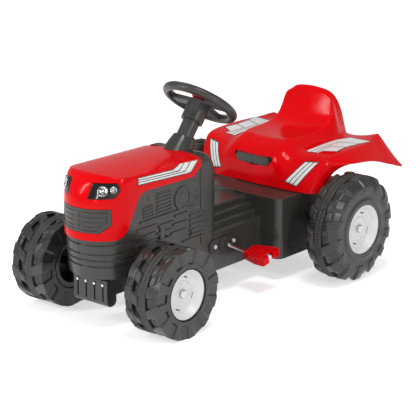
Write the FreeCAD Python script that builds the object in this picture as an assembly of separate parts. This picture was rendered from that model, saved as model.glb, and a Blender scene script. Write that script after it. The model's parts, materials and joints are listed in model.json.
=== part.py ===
import FreeCAD, Part
import math
import os

# A child's ride-on pedal tractor: moulded body halves, hood, seat with fenders,
# steered front wheels, and a chain drive from the pedals to the rear axle.
# Frame: +X forward, +Y to the rider's left, +Z up, origin on the floor under the middle.

V = FreeCAD.Vector

# Overall sizes, in millimetres
overall_length = 824.0
wheelbase = 512.0
wheelbase_middle_x = 48.0
overrun = 20.0
wall = 3.5
part_gap = 0.4
fit_gap = 0.05
seat_gap = 0.02

# Wheels
front_wheel_r = 93.0
front_wheel_w = 88.0
front_outer_y = 201.0
rear_wheel_r = 116.0
rear_wheel_w = 84.0
rear_outer_y = 258.0
front_lug_count = 14
rear_lug_count = 16
lug_h = 7.0
lug_skew = 16.0
lug_width_share = 0.5
shoulder_w = 15.0
shoulder_drop = 16.0
side_inset = 3.0
ring_half_w = 9.0
ring_depth = 4.0
ring_stand = 9.6
small_edge_r = 1.0
hub_r = 54.0
hub_recess = 20.0
hub_plate_t = 2.5
hub_lip_w = 4.0
hub_lip_h = 17.0
hub_dish_r = 40.0
hub_ring_r = 24.0
hub_ring_h = 4.0
hub_slot_l = 13.0
hub_slot_w = 3.0
hub_slot_count = 4
hub_slot_turn = 69.0
inner_pocket_r = 42.0
front_pocket_depth = 38.0
rear_pocket_depth = 20.0
wheel_boss_r = 13.0
axle_r = 6.0
collar_r = 9.0
cap_r = 9.0
cap_h = 6.0
cap_hole_depth = 4.0

# Front axle, knuckles and tie rod
kingpin_y = 98.0
kingpin_r = 5.0
beam_h = 14.0
beam_eye_r = 10.0
yoke_t = 6.0
yoke_web_t = 7.0
kingpin_head_h = 4.0
kingpin_head_r = 8.0
tie_arm = 75.0
tie_arm_w = 12.0
tie_pin_r = 4.0
tie_rod_t = 5.0
tie_rod_w = 14.0
tie_pin_spare = 4.0
tie_slot_l = 34.0
tie_slot_w = 12.4
tie_plate_w = 50.0

# Steering column
lean = 38.0
column_behind = 220.0
column_z = 335.0
column_tube_r = 18.0
column_tube_len = 46.0
column_wall = 4.0
column_root = 34.0
collar_base_r = 33.0
collar_top_r = 23.5
collar_drop = 46.0
collar_step_h = 30.0
collar_step_w = 5.0
steering_rod_r = 5.0
steering_elbow_rise = 24.0
steering_pin_spare = 14.0
bracket_t = 8.0
bracket_w = 30.0
bracket_down = 130.0

# Steering wheel and horn button
rim_r = 74.0
rim_tube_r = 8.0
wheel_rise = 84.0
sleeve_r = 24.0
sleeve_len = 30.0
sleeve_start = 39.0
spoke_w = 24.0
spoke_t = 9.0
horn_r = 20.0
horn_h = 9.0
horn_stem_r = 8.0
horn_stem_len = 7.0
horn_travel = 3.0
horn_stand = 6.0
spring_wire_r = 0.8
spring_r = 5.5
spring_turns = 4
spring_turn_steps = 16

# Engine bay, hood and nose
body_half_w = 74.0
hood_skin = 3.2
hood_gap = 0.3
hood_nose_edge = 18.0
hood_rear_rise = 15.0
hood_rear_run = 26.0
hood_corner_run = 30.0
hood_corner_r = 42.0
hood_window_r = 30.0
hood_window_run = 48.0
hood_low_z = 195.0
hood_side_z = 282.0
hood_top_z = 330.0
hood_crown_front_z = 328.0
hood_crown_rear_z = 320.0
hood_crown_r = 420.0
hood_start = 34.0
hood_nose_round = 72.0
hood_nose_lean = 50.0
hood_side_round = 24.0
hood_round_inset = 17.0
body_top_z = 297.0
nose_low_z = 112.0
nose_low_r = 63.0
belly_z = 55.0
cowl_behind = 22.0
cowl_top_z = 319.0
cowl_half_w = 76.0
cowl_round_r = 44.0
cowl_edge_r = 7.0
cowl_side_r = 22.0
belly_reach = 55.0
belly_rise_run = 65.0
groove_h = 4.0
groove_depth = 2.5
grille_low_z = 211.0
grille_high_z = 261.0
grille_half_angle = 56.0
grille_chamfer = 17.0
grille_rib_half_angle = 5.0
grille_frame = 5.0
louvre_count = 4
grille_plate_t = 1.4
lamp_low_z = 281.0
lamp_high_z = 312.0
lamp_half_w = 33.0
lamp_angle = 46.0
lamp_corner_r = 8.0
lamp_t = 2.6
relief_h = 3.0

# Foot box, tunnel and rear housing
foot_overlap = 34.0
foot_z = 141.0
step_h = 13.0
step_w = 14.0
step_count = 3
housing_ahead = 130.0
housing_behind = 92.0
housing_half_w = 128.0
housing_top_z = 186.0
housing_low_z = 52.0
housing_corner_r = 18.0
pedestal_ahead = 36.0
pedestal_half_w = 70.0
pedestal_top_z = 264.0
keel_behind = 42.0
keel_ahead = 42.0
keel_half_w = 45.0
keel_low_z = 70.0
weight_l = 28.0
weight_low_z = 48.0
weight_high_z = 107.0
weight_half_w = 46.0
weight_slot_count = 4
weight_slot_w = 4.0
weight_slot_depth = 4.0
weight_stud_r = 3.0
weight_corner_r = 12.0

# Engine relief, as shares of the panel between these edges
panel_start = 12.0
panel_nose_gap = 16.5
panel_low_z = 144.0
panel_high_z = 272.0
panel_boss_r = 25.0
panel_boss_ring_w = 5.0

# Seat and fenders
seat_ahead = 67.0
skirt_low_z = 188.0
pan_z = 283.0
pan_half_w = 66.0
fender_z = 266.0
fender_half_w = 208.0
seat_back_top_z = 367.0
seat_back_half_w = 68.0
seat_back_round_share = 0.42
seat_back_l = 92.0
seat_back_setback = 20.0
grip_half_w = 51.0
grip_low_z = 230.0
grip_high_z = 251.0
grip_corner_r = 9.0
seat_boss_r = 8.0
pan_slope_w = 26.0
fold_r = 11.0

# Drive: crank, pedals, chain
crank_ahead = 53.0
crank_z = 110.0
crank_r = 66.0
crank_angle = 206.0
crank_arm_y = 90.0
crank_rod_r = 4.0
pedal_l = 64.0
pedal_w = 58.0
pedal_neck_w = 38.0
pedal_t = 15.0
pedal_notch_w = 16.0
pedal_notch_l = 12.0
pedal_tilt = 13.0
pedal_corner_r = 5.0
pedal_groove_count = 5
pedal_groove_w = 3.2
pedal_groove_depth = 2.5
pedal_cap_h = 4.0
pedal_cap_r = 6.5
bearing_r = 17.0
bearing_t = 7.0
bearing_sleeve_r = 10.0
bearing_ear_reach = 30.0
bearing_ear_w = 32.0
bearing_ear_t = 3.0
bush_t = 4.0
chain_y = 0.0
chain_pitch_goal = 13.0
crank_teeth = 20
rear_teeth = 14
pitch_rounds = 60
sprocket_t = 3.0
sprocket_hub_r = 13.0
sprocket_hub_h = 9.0
roller_r = 3.9
roller_gap = 0.15
tooth_h = 2.5
plate_t = 1.2
plate_h = 8.0
plate_gap = 0.7

# Fasteners and tow hitch
screw_r = 2.0
screw_head_r = 4.0
screw_head_h = 3.0
screw_boss_r = 6.5
screw_grip = 20.0
screw_gap = 0.2
hitch_w = 44.0
hitch_t = 8.0
hitch_z = 100.0
hitch_reach = 52.0
hitch_hole_r = 6.0
hitch_flange_h = 40.0
hitch_flange_t = 6.0

# Places that follow from the sizes above
front_x = wheelbase_middle_x + wheelbase / 2
rear_x = wheelbase_middle_x - wheelbase / 2
front_z = front_wheel_r
rear_z = rear_wheel_r
front_wheel_y = front_outer_y - front_wheel_w / 2
rear_wheel_y = rear_outer_y - rear_wheel_w / 2
nose_x = overall_length / 2
tail_x = -overall_length / 2
hood_r = body_half_w + hood_gap + hood_skin
nose_center_x = nose_x - hood_r
column_x = front_x - column_behind
cowl_rear_x = column_x - cowl_behind
hood_rear_x = column_x + hood_start
panel_rear_x = hood_rear_x - panel_start
panel_front_x = nose_center_x - panel_nose_gap
keel_rear_x = front_x - keel_behind
keel_front_x = front_x + keel_ahead
weight_front_x = keel_front_x + weight_l
housing_front_x = rear_x + housing_ahead
housing_rear_x = rear_x - housing_behind
foot_rear_x = housing_front_x - foot_overlap
crank_x = (housing_front_x + cowl_rear_x) / 2 + crank_ahead
belly_front_x = crank_x + belly_reach
belly_rise_x = belly_front_x + belly_rise_run
pedestal_front_x = rear_x + pedestal_ahead
seat_front_x = rear_x + seat_ahead
seat_back_rear_x = tail_x + seat_back_setback
seat_back_front_x = seat_back_rear_x + seat_back_l
pan_rear_x = max(seat_back_front_x, housing_rear_x)
beam_low_z = front_z - beam_h / 2
beam_high_z = front_z + beam_h / 2
tie_x = front_x - tie_arm
column_axis = V(-math.sin(math.radians(lean)), 0, math.cos(math.radians(lean)))
column_point = V(column_x, 0, column_z)


def block(x0, x1, y0, y1, z0, z1):
    return Part.makeBox(x1 - x0, y1 - y0, z1 - z0, V(x0, y0, z0))


def rod(start, end, radius):
    return Part.makeCylinder(radius, (end - start).Length, start, end - start)


def cross_rod(x, z, radius, y0, y1):
    return Part.makeCylinder(radius, y1 - y0, V(x, y0, z), V(0, 1, 0))


def mirrored(shape):
    return shape.mirror(V(0, 0, 0), V(0, 1, 0))


def moved(shape, offset):
    copy = shape.copy()
    copy.translate(offset)
    return copy


def turned_about(shape, point, axis, degrees):
    copy = shape.copy()
    copy.rotate(point, axis, degrees)
    return copy


def fused(shapes):
    return shapes[0].multiFuse(shapes[1:]).removeSplitter()


def rounded_wire(points, radii):
    """Closed wire through the points, with each corner rounded by its radius."""
    arcs = []
    for index, corner in enumerate(points):
        before = points[index - 1] - corner
        after = points[(index + 1) % len(points)] - corner
        before.normalize()
        after.normalize()
        half_turn = before.getAngle(after) / 2
        reach = radii[index] / math.tan(half_turn)
        middle = before + after
        if radii[index] > 0:
            middle.normalize()
            inset = radii[index] / math.sin(half_turn) - radii[index]
            arcs.append((corner + before * reach, corner + middle * inset, corner + after * reach))
        else:
            arcs.append((corner, None, corner))
    edges = []
    for index, (start, middle, end) in enumerate(arcs):
        if middle:
            edges.append(Part.Arc(start, middle, end).toShape())
        following = arcs[(index + 1) % len(arcs)][0]
        if (following - end).Length > fit_gap:
            edges.append(Part.makeLine(end, following))
    return Part.Wire(edges)


def side_prism(points, radii, y0, y1):
    """Solid with an outline in X and Z, between two values of Y."""
    wire = rounded_wire([V(x, y0, z) for x, z in points], radii)
    return Part.Face(wire).extrude(V(0, y1 - y0, 0))


def plan_prism(points, radii, z0, z1):
    """Solid with an outline in X and Y, between two heights."""
    wire = rounded_wire([V(x, y, z0) for x, y in points], radii)
    return Part.Face(wire).extrude(V(0, 0, z1 - z0))


def turned(profile, radii):
    """Solid turned about the Y axis from a closed profile of radius and offset."""
    wire = rounded_wire([V(radius, offset, 0) for radius, offset in profile], radii)
    return Part.Face(wire).revolve(V(0, 0, 0), V(0, 1, 0), 360)


def save(name, shape):
    shape.exportStep("parts/" + name + ".step")


# Wheels, each of two hollow halves, a tread ring, a hub disc and an axle cap

def carcass_profile(radius, width, recess_r, recess_depth):
    """Closed profile of one hollow wheel half, from the middle plane outwards."""
    face = width / 2
    floor = face - recess_depth
    crown = radius - lug_h
    groove = crown - ring_depth
    shoulder = face - shoulder_w
    side = face - side_inset
    bore = axle_r + fit_gap
    return [
        (bore, 0), (wheel_boss_r, 0), (wheel_boss_r, floor - wall),
        (recess_r + wall, floor - wall), (recess_r + wall, face - wall - side_inset),
        (crown - shoulder_drop - wall, side - wall), (crown - wall, shoulder - wall),
        (groove - wall, ring_half_w), (groove - wall, 0), (groove, 0), (groove, ring_half_w),
        (crown, ring_half_w), (crown, shoulder), (crown - shoulder_drop, side),
        (recess_r + wall, face), (recess_r, face), (recess_r, floor), (bore, floor),
    ]


def lug_set(radius, width, count, phase):
    """The raised lugs of one wheel half, as separate solids round the shoulder."""
    face = width / 2
    crown = radius - lug_h
    envelope = turned([
        (crown - wall / 2, ring_half_w), (radius, ring_half_w), (radius, face - shoulder_w),
        (radius - shoulder_drop, face - side_inset / 2),
        (crown - shoulder_drop - shoulder_drop, face - side_inset / 2),
        (crown - shoulder_drop - shoulder_drop, face - side_inset - wall / 2),
        (crown - shoulder_drop - wall / 2, face - side_inset - wall / 2),
        (crown - wall / 2, face - shoulder_w - wall / 2),
    ], [0, 0, shoulder_w / 2, 0, 0, 0, 0, 0])
    lug_w = lug_width_share * math.tau * radius / count
    bar = block(radius / 2, radius + overrun, 0, face + overrun, -lug_w / 2, lug_w / 2)
    bar = turned_about(bar, V(0, ring_half_w, 0), V(1, 0, 0), lug_skew)
    lug = envelope.common(bar)
    return [turned_about(lug, V(0, 0, 0), V(0, 1, 0), 90 + phase + 360 * index / count)
            for index in range(count)]


def wheel_half(radius, width, count, phase, recess_r, recess_depth):
    profile = carcass_profile(radius, width, recess_r, recess_depth)
    radii = [0] * len(profile)
    radii[12] = shoulder_w / 2
    radii[13] = side_inset * 2
    return fused([turned(profile, radii)] + lug_set(radius, width, count, phase))


def tread_ring(radius):
    groove = radius - lug_h - ring_depth + seat_gap
    half_w = ring_half_w - seat_gap
    return turned([(groove, -half_w), (groove, half_w), (groove + ring_stand, half_w),
                   (groove + ring_stand, -half_w)], [0, 0, small_edge_r, small_edge_r])


def hub_disc(width):
    """Dished disc that lies on the floor of the outer recess, with its lip near the wheel's face."""
    floor = width / 2 - hub_recess + seat_gap
    top = floor + hub_lip_h
    under_lip = top - hub_plate_t * 2
    bore = axle_r + fit_gap
    disc = turned([
        (bore, floor), (hub_dish_r + hub_plate_t, floor), (hub_r - hub_plate_t, under_lip), (hub_r, under_lip),
        (hub_r, top), (hub_r - hub_lip_w, top), (hub_dish_r, floor + hub_plate_t),
        (hub_ring_r + hub_ring_h, floor + hub_plate_t), (hub_ring_r, floor + hub_ring_h),
        (bore, floor + hub_ring_h),
    ], [0, hub_plate_t, 0, 0, hub_lip_w / 3, hub_lip_w / 3, hub_lip_w, small_edge_r, small_edge_r, 0])
    slot_middle = (hub_ring_r + hub_ring_h + hub_dish_r) / 2
    slot = block(-hub_slot_l / 2, hub_slot_l / 2, floor - overrun, floor + overrun,
                 slot_middle - hub_slot_w / 2, slot_middle + hub_slot_w / 2)
    for index in range(hub_slot_count):
        angle = hub_slot_turn + 360 * index / hub_slot_count
        disc = disc.cut(turned_about(slot, V(0, 0, 0), V(0, 1, 0), angle))
    return disc


def axle_cap(width):
    """Domed push-on cap over the end of the axle."""
    start = width / 2 - hub_recess + hub_ring_h + part_gap
    hole_end = start + cap_hole_depth
    return turned([
        (0, hole_end), (axle_r + seat_gap, hole_end), (axle_r + seat_gap, start), (cap_r, start),
        (cap_r, start + cap_h), (0, start + cap_h),
    ], [0, 0, 0, 0, cap_h / 2, 0])


def save_wheel(name, x, y, z, radius, width, count, pocket_depth):
    outer = wheel_half(radius, width, count, 0, hub_r + part_gap, hub_recess)
    inner = mirrored(wheel_half(radius, width, count, 180 / count, inner_pocket_r, pocket_depth))
    pieces = {"outer_half": outer, "inner_half": inner, "tread_ring": tread_ring(radius),
              "hub_disc": hub_disc(width), "axle_cap": axle_cap(width)}
    for piece, shape in pieces.items():
        placed = moved(shape, V(x, y, z))
        save(name + "_left_" + piece, placed)
        save(name + "_right_" + piece, mirrored(placed))


# Front axle, knuckles and tie rod

def front_axle():
    half = kingpin_y
    beam = block(front_x - beam_h / 2, front_x + beam_h / 2, -half, half, beam_low_z, beam_high_z)
    shapes = [beam]
    for y in (-half, half):
        shapes.append(Part.makeCylinder(beam_eye_r, beam_h, V(front_x, y, beam_low_z)))
    axle = fused(shapes)
    for y in (-half, half):
        axle = axle.cut(Part.makeCylinder(kingpin_r + seat_gap, beam_h + overrun * 2,
                                          V(front_x, y, beam_low_z - overrun)))
    return axle


def kingpin(y):
    low = beam_low_z - part_gap - yoke_t - part_gap - kingpin_head_h
    high = beam_high_z + part_gap + yoke_t + part_gap
    pin = Part.makeCylinder(kingpin_r, high - low, V(front_x, y, low))
    head = Part.makeCylinder(kingpin_head_r, kingpin_head_h, V(front_x, y, high))
    foot = Part.makeCylinder(kingpin_head_r, kingpin_head_h, V(front_x, y, low))
    return fused([pin, head, foot])


def knuckle():
    """Left knuckle: a yoke on the kingpin, the wheel spindle and the steering arm."""
    low = beam_low_z - part_gap - yoke_t
    high = beam_high_z + part_gap
    web_y = kingpin_y + beam_eye_r + part_gap
    floor = front_wheel_y - front_wheel_w / 2 + front_pocket_depth
    spindle_end = front_wheel_y + front_wheel_w / 2 - hub_recess + hub_ring_h + cap_hole_depth
    rear = front_x - beam_eye_r
    front = front_x + beam_eye_r
    shapes = [block(rear, front, web_y, web_y + yoke_web_t, low, high + yoke_t)]
    for z in (low, high):
        shapes.append(Part.makeCylinder(beam_eye_r, yoke_t, V(front_x, kingpin_y, z)))
        shapes.append(block(rear, front, kingpin_y, web_y + yoke_web_t / 2, z, z + yoke_t))
    shapes.append(cross_rod(front_x, front_z, collar_r, web_y, floor - part_gap))
    shapes.append(cross_rod(front_x, front_z, axle_r, web_y, spindle_end))
    arm_half_w = tie_arm_w / 2
    shapes.append(block(tie_x, front_x, kingpin_y - arm_half_w, kingpin_y + arm_half_w, low, low + yoke_t))
    shapes.append(Part.makeCylinder(arm_half_w, yoke_t, V(tie_x, kingpin_y, low)))
    shapes.append(Part.makeCylinder(tie_pin_r, yoke_t + part_gap + tie_rod_t + tie_pin_spare,
                                    V(tie_x, kingpin_y, low)))
    shape = fused(shapes)
    bore = Part.makeCylinder(kingpin_r + fit_gap, overrun * 4, V(front_x, kingpin_y, front_z - overrun * 2))
    return shape.cut(bore)


def tie_rod():
    low = beam_low_z
    high = low + tie_rod_t
    half_w = tie_rod_w / 2
    plate = tie_plate_w / 2
    shapes = [block(tie_x - half_w, tie_x + half_w, -kingpin_y, kingpin_y, low, high),
              block(tie_x - plate, tie_x + plate, -plate, plate, low, high)]
    for y in (-kingpin_y, kingpin_y):
        shapes.append(Part.makeCylinder(half_w, tie_rod_t, V(tie_x, y, low)))
    rod_shape = fused(shapes)
    for y in (-kingpin_y, kingpin_y):
        hole = Part.makeCylinder(tie_pin_r + fit_gap, overrun * 2, V(tie_x, y, low - overrun))
        rod_shape = rod_shape.cut(hole)
    slot = plan_prism([(tie_x - tie_slot_l / 2, -tie_slot_w / 2), (tie_x + tie_slot_l / 2, -tie_slot_w / 2),
                       (tie_x + tie_slot_l / 2, tie_slot_w / 2), (tie_x - tie_slot_l / 2, tie_slot_w / 2)],
                      [0] * 4, low - overrun, low + overrun)
    return rod_shape.cut(slot)


# Steering column, wheel and horn button

def along(distance):
    """Point on the steering axis, measured upwards from the top of the collar."""
    return column_point + column_axis * distance


def steering_pin_point():
    return V(tie_x, 0, beam_low_z + tie_rod_t / 2)


def steering_foot():
    """Distance down the steering axis to the point beside the tie rod's slot."""
    return (steering_pin_point() - column_point).dot(column_axis)


def steering_rod():
    foot = steering_foot()
    elbow = along(foot + steering_elbow_rise)
    pin_top = steering_pin_point() + column_axis * steering_elbow_rise
    pin_end = steering_pin_point() - column_axis * steering_pin_spare
    top = along(sleeve_start + sleeve_len - wall)
    return fused([rod(elbow, top, steering_rod_r), rod(elbow, pin_top, steering_rod_r),
                  rod(pin_top, pin_end, steering_rod_r), Part.makeSphere(steering_rod_r, elbow),
                  Part.makeSphere(steering_rod_r, pin_top)])


def steering_column():
    """Fixed tube that stands out of the collar and guides the steering rod."""
    tube = rod(along(-column_root), along(column_tube_len), column_tube_r)
    hollow_end = along(column_tube_len - column_wall)
    hollow = rod(along(-column_root - overrun), hollow_end, column_tube_r - column_wall)
    bore = rod(along(-column_root), along(column_tube_len + overrun), steering_rod_r + fit_gap)
    return tube.cut(hollow).cut(bore)


def column_room(gap):
    return rod(along(-bracket_down + bracket_w / 2), along(wheel_rise), column_tube_r + gap)


def steering_collar():
    """Stepped boot between the column tube and the cowl."""
    base = along(-collar_drop)
    step = along(-collar_drop + collar_step_h)
    waist_r = collar_base_r - collar_step_w
    lower = Part.makeCone(collar_base_r, waist_r, collar_step_h, base, column_axis)
    upper = Part.makeCone(waist_r, collar_top_r, collar_drop - collar_step_h, step, column_axis)
    return lower.fuse(upper).cut(column_room(seat_gap)).cut(cowl(0)).cut(hood_block(-part_gap))


def steering_bracket():
    """Cross bar inside the body that carries the lower end of the steering rod."""
    half_w = body_half_w - wall - seat_gap
    bar = Part.makeBox(bracket_w, half_w * 2, bracket_t, V(-bracket_w / 2, -half_w, 0))
    bar.Placement = FreeCAD.Placement(along(-bracket_down), FreeCAD.Rotation(V(0, 1, 0), -lean))
    start = along(-bracket_down - overrun)
    return bar.cut(rod(start, along(-bracket_down + overrun), steering_rod_r + fit_gap))


def steering_wheel():
    """Rim, three spokes and a hub sleeve that covers the top of the column tube."""
    hub_top = wheel_rise
    rim = Part.makeTorus(rim_r, rim_tube_r, along(wheel_rise), column_axis)
    sleeve = rod(along(sleeve_start), along(hub_top), sleeve_r)
    shapes = [rim, sleeve]
    for angle in (0, 90, 270):
        low = [(-spoke_w / 2, -spoke_t), (spoke_w / 2, -spoke_t), (spoke_w / 2, 0), (-spoke_w / 2, 0)]
        face = Part.Face(rounded_wire([V(0, y, z) for y, z in low], [spoke_t / 3] * 4))
        spoke = face.extrude(V(rim_r, 0, 0))
        spoke.rotate(V(0, 0, 0), V(0, 0, 1), angle + 180)
        spoke.Placement = FreeCAD.Placement(along(wheel_rise + spoke_t / 2),
                                            FreeCAD.Rotation(V(0, 1, 0), -lean)).multiply(spoke.Placement)
        shapes.append(spoke)
    wheel = fused(shapes)
    room_end = along(column_tube_len + part_gap)
    tube_room = rod(along(sleeve_start - overrun), room_end, column_tube_r + part_gap)
    rod_hole = rod(along(sleeve_start), along(sleeve_start + sleeve_len - wall), steering_rod_r + seat_gap)
    well = rod(along(horn_floor()), along(hub_top + overrun), horn_r + part_gap)
    return wheel.cut(tube_room).cut(rod_hole).cut(well)


def horn_floor():
    return wheel_rise - horn_h - horn_travel + horn_stand


def horn_button():
    low = horn_floor() + horn_travel + part_gap
    pad = rod(along(low), along(low + horn_h), horn_r)
    high = along(low + horn_h).z
    pad = pad.makeFillet(horn_h / 4, [edge for edge in pad.Edges if edge.BoundBox.ZMax > high])
    return pad.cut(rod(along(low - overrun), along(low + horn_stem_len - part_gap), horn_stem_r))


def horn_spring():
    """Open coil between the hub and the button."""
    low = horn_floor() + spring_wire_r + seat_gap
    height = horn_travel + horn_stem_len - spring_wire_r * 2 - part_gap * 2
    steps = spring_turns * spring_turn_steps
    points = []
    for index in range(steps + 1):
        angle = math.tau * index / spring_turn_steps
        points.append(V(spring_r * math.cos(angle), spring_r * math.sin(angle), height * index / steps))
    curve = Part.BSplineCurve()
    curve.interpolate(points)
    start_way = curve.tangent(curve.FirstParameter)[0]
    ring = Part.Wire([Part.Circle(points[0], start_way, spring_wire_r).toShape()])
    coil = Part.Wire([curve.toShape()]).makePipeShell([ring], True, True)
    coil.Placement = FreeCAD.Placement(along(low), FreeCAD.Rotation(V(0, 1, 0), -lean))
    return coil


# Hood, grille and lamps

def shrink_at(z, top, height, inset):
    """Quarter-round shrinking that starts one height below the top."""
    rise = max(0.0, z - (top - height)) / height
    return inset * (1 - math.sqrt(max(0.0, 1 - rise * rise)))


def nose_slice(z, tip, half_w, rear_limit):
    """Closed level outline with a round nose and straight sides."""
    curve = Part.ArcOfCircle(Part.Circle(V(0, 0, 0), V(0, 0, 1), 1), -math.pi / 2, math.pi / 2).toBSpline()
    for index, pole in enumerate(curve.getPoles()):
        curve.setPole(index + 1, V(nose_center_x + pole.x * (tip - nose_center_x), pole.y * half_w, z))
    corners = [V(nose_center_x, half_w, z), V(rear_limit, half_w, z), V(rear_limit, -half_w, z),
               V(nose_center_x, -half_w, z)]
    lines = [Part.makeLine(start, end) for start, end in zip(corners, corners[1:])]
    return Part.Wire([curve.toShape()] + lines)


# Levels of the nose's rounding, down from the top in shares of its height
hood_height_shares = (1.0, 0.8, 0.63, 0.48, 0.35, 0.24, 0.15, 0.08, 0.03, 0.0)


def hood_block(inset):
    """Outer form of the hood, or its hollow when an inset is given."""
    top = hood_top_z - inset
    low = hood_low_z if inset == 0 else hood_low_z - overrun
    rear = hood_rear_x if inset == 0 else hood_rear_x - overrun
    heights = [low] + [top - hood_nose_round * share for share in hood_height_shares]
    slices = []
    for z in heights:
        tip = nose_x - inset - shrink_at(z, top, hood_nose_round, hood_nose_lean)
        half_w = hood_r - inset - shrink_at(z, top, hood_side_round, hood_round_inset)
        slices.append(nose_slice(z, tip, half_w, rear))
    form = Part.makeLoft(slices, True, True)
    length = nose_x - hood_rear_x
    tilt = math.degrees(math.atan2(hood_crown_front_z - hood_crown_rear_z, length))
    crown_start = V(hood_rear_x - overrun * 2, 0, hood_crown_rear_z - inset - hood_crown_r)
    crown = Part.makeCylinder(hood_crown_r, length + overrun * 4, crown_start, V(1, 0, 0))
    return form.common(turned_about(crown, V(hood_rear_x, 0, hood_crown_rear_z), V(0, 1, 0), -tilt))


def hood_window():
    """Part of the hood's side that is left open above the engine panel."""
    nose_edge = nose_center_x + hood_nose_edge
    behind = hood_rear_x - overrun
    rear_z_high = hood_side_z + hood_rear_rise
    corner_x = nose_edge + hood_corner_run
    edge_z = hood_low_z - part_gap
    points = [(corner_x, hood_low_z - overrun), (corner_x, edge_z), (nose_edge, edge_z),
              (nose_edge - hood_window_run, hood_side_z), (hood_rear_x + hood_rear_run, hood_side_z - groove_h),
              (hood_rear_x, rear_z_high), (behind, rear_z_high), (behind, hood_low_z - overrun)]
    radii = [0, 0, hood_corner_r, hood_window_r, cowl_edge_r * 2, 0, 0, 0]
    return side_prism(points, radii, -hood_r - overrun, hood_r + overrun)


def sector(radius_in, radius_out, z0, z1, start, end):
    """Curved panel round the nose between two angles from straight ahead."""
    ring = Part.makeCylinder(radius_out, z1 - z0, V(nose_center_x, 0, z0), V(0, 0, 1), end - start)
    ring = ring.cut(Part.makeCylinder(radius_in, z1 - z0, V(nose_center_x, 0, z0)))
    return turned_about(ring, V(nose_center_x, 0, 0), V(0, 0, 1), start)


def grille_outline(grow):
    """Wrapped solid through the nose with the grille's outline."""
    angle = math.radians(grille_half_angle)
    half_w = hood_r * math.sin(angle) + grow
    low = grille_low_z - grow
    high = grille_high_z + grow
    points = [V(nose_center_x, y, z) for y, z in (
        (-half_w, low + grille_chamfer), (-half_w + grille_chamfer, low), (half_w - grille_chamfer, low),
        (half_w, low + grille_chamfer), (half_w, high), (-half_w, high))]
    return Part.Face(rounded_wire(points, [part_gap + grow] * 6)).extrude(V(hood_r + overrun, 0, 0))


def grille():
    """Curved insert with a frame, a centre rib and level louvres."""
    inner_r = body_half_w + hood_gap
    plate_r = inner_r + grille_plate_t
    half = grille_half_angle + grille_rib_half_angle
    plate = sector(inner_r, plate_r, grille_low_z, grille_high_z, -half, half)
    full = sector(inner_r, hood_r, grille_low_z, grille_high_z, -half, half)
    rib = sector(inner_r, hood_r, grille_low_z, grille_high_z, -grille_rib_half_angle, grille_rib_half_angle)
    frame = full.common(grille_outline(0)).cut(grille_outline(-grille_frame))
    shapes = [plate.common(grille_outline(0)), frame, rib]
    pitch = (grille_high_z - grille_low_z) / (louvre_count + 1)
    for index in range(louvre_count):
        z = grille_low_z + pitch * (index + 1)
        bar = sector(inner_r, hood_r - hood_gap, z - pitch / 4, z + pitch / 4, -half, half)
        shapes.append(bar.common(grille_outline(-grille_frame / 2)))
    return fused(shapes)


# Corners of the headlight across and up, in shares of its half width and height
lamp_shares = [(-1.0, 0.0), (-0.64, 1.0), (0.84, 1.0), (1.0, 0.5), (0.6, 0.04)]


def lamp_prism(grow):
    """Headlight outline on the left of the nose, carried straight in to the nose's middle."""
    angle = math.radians(lamp_angle)
    ahead = V(math.cos(angle), math.sin(angle), 0)
    across = V(-math.sin(angle), math.cos(angle), 0)
    height = lamp_high_z - lamp_low_z
    middle = V(nose_center_x, 0, lamp_low_z) + ahead * (body_half_w / 2)
    points = [middle + across * (share * lamp_half_w) + V(0, 0, rise * height) for share, rise in lamp_shares]
    inner = sum(points, V(0, 0, 0)) * (1 / len(points))
    points = [point + (point - inner).normalize() * grow for point in points]
    radii = [lamp_corner_r / 4, lamp_corner_r, lamp_corner_r, lamp_corner_r, lamp_corner_r]
    return Part.Face(rounded_wire(points, radii)).extrude(ahead * (hood_r + overrun))


def headlight():
    """Dark lamp panel let into the left of the nose."""
    shell = hood_block(hood_skin - lamp_t).cut(hood_block(hood_skin))
    return shell.common(lamp_prism(0))


def hood():
    shell = hood_block(0).cut(hood_block(hood_skin)).cut(hood_window()).cut(grille_outline(part_gap))
    opening = lamp_prism(part_gap * 2)
    return shell.cut(opening).cut(mirrored(opening)).cut(column_room(part_gap))


# Body, moulded as two hollow halves that meet on the middle plane

def engine_bay(inset):
    """Engine bay with a round nose that tucks in below the hood."""
    reach = body_half_w - inset
    low_reach = nose_low_r - inset
    middle_z = (nose_low_z + hood_low_z) / 2
    rear_limit = cowl_rear_x + cowl_side_r + inset
    hollow_top = hood_top_z - hood_skin
    lean_in = shrink_at(body_top_z, hollow_top, hood_nose_round, hood_nose_lean) + hood_gap
    rows = [(nose_low_z + inset, low_reach), (middle_z, (reach * 2 + low_reach) / 3), (hood_low_z, reach),
            (hollow_top - hood_nose_round, reach), (body_top_z - inset, reach - lean_in)]
    slices = [nose_slice(z, nose_center_x + length, body_half_w - inset, rear_limit) for z, length in rows]
    return Part.makeLoft(slices, True, True)


def cowl(inset):
    """Rounded hump behind the hood that carries the steering column."""
    rear = cowl_rear_x + inset
    front = hood_rear_x - hood_gap - inset
    low = foot_z - step_h - (overrun if inset else 0)
    top = cowl_top_z - inset
    half_w = cowl_half_w - inset
    form = side_prism([(rear, low), (front, low), (front, top), (rear, top)],
                      [0, 0, 0, cowl_round_r - inset], -half_w, half_w)
    edges = [edge for edge in form.Edges if edge.BoundBox.YLength < fit_gap
             and edge.BoundBox.XMin < rear + cowl_round_r / 2 and edge.BoundBox.ZMax > low + overrun]
    return form.makeFillet(cowl_side_r - inset, edges)


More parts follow.
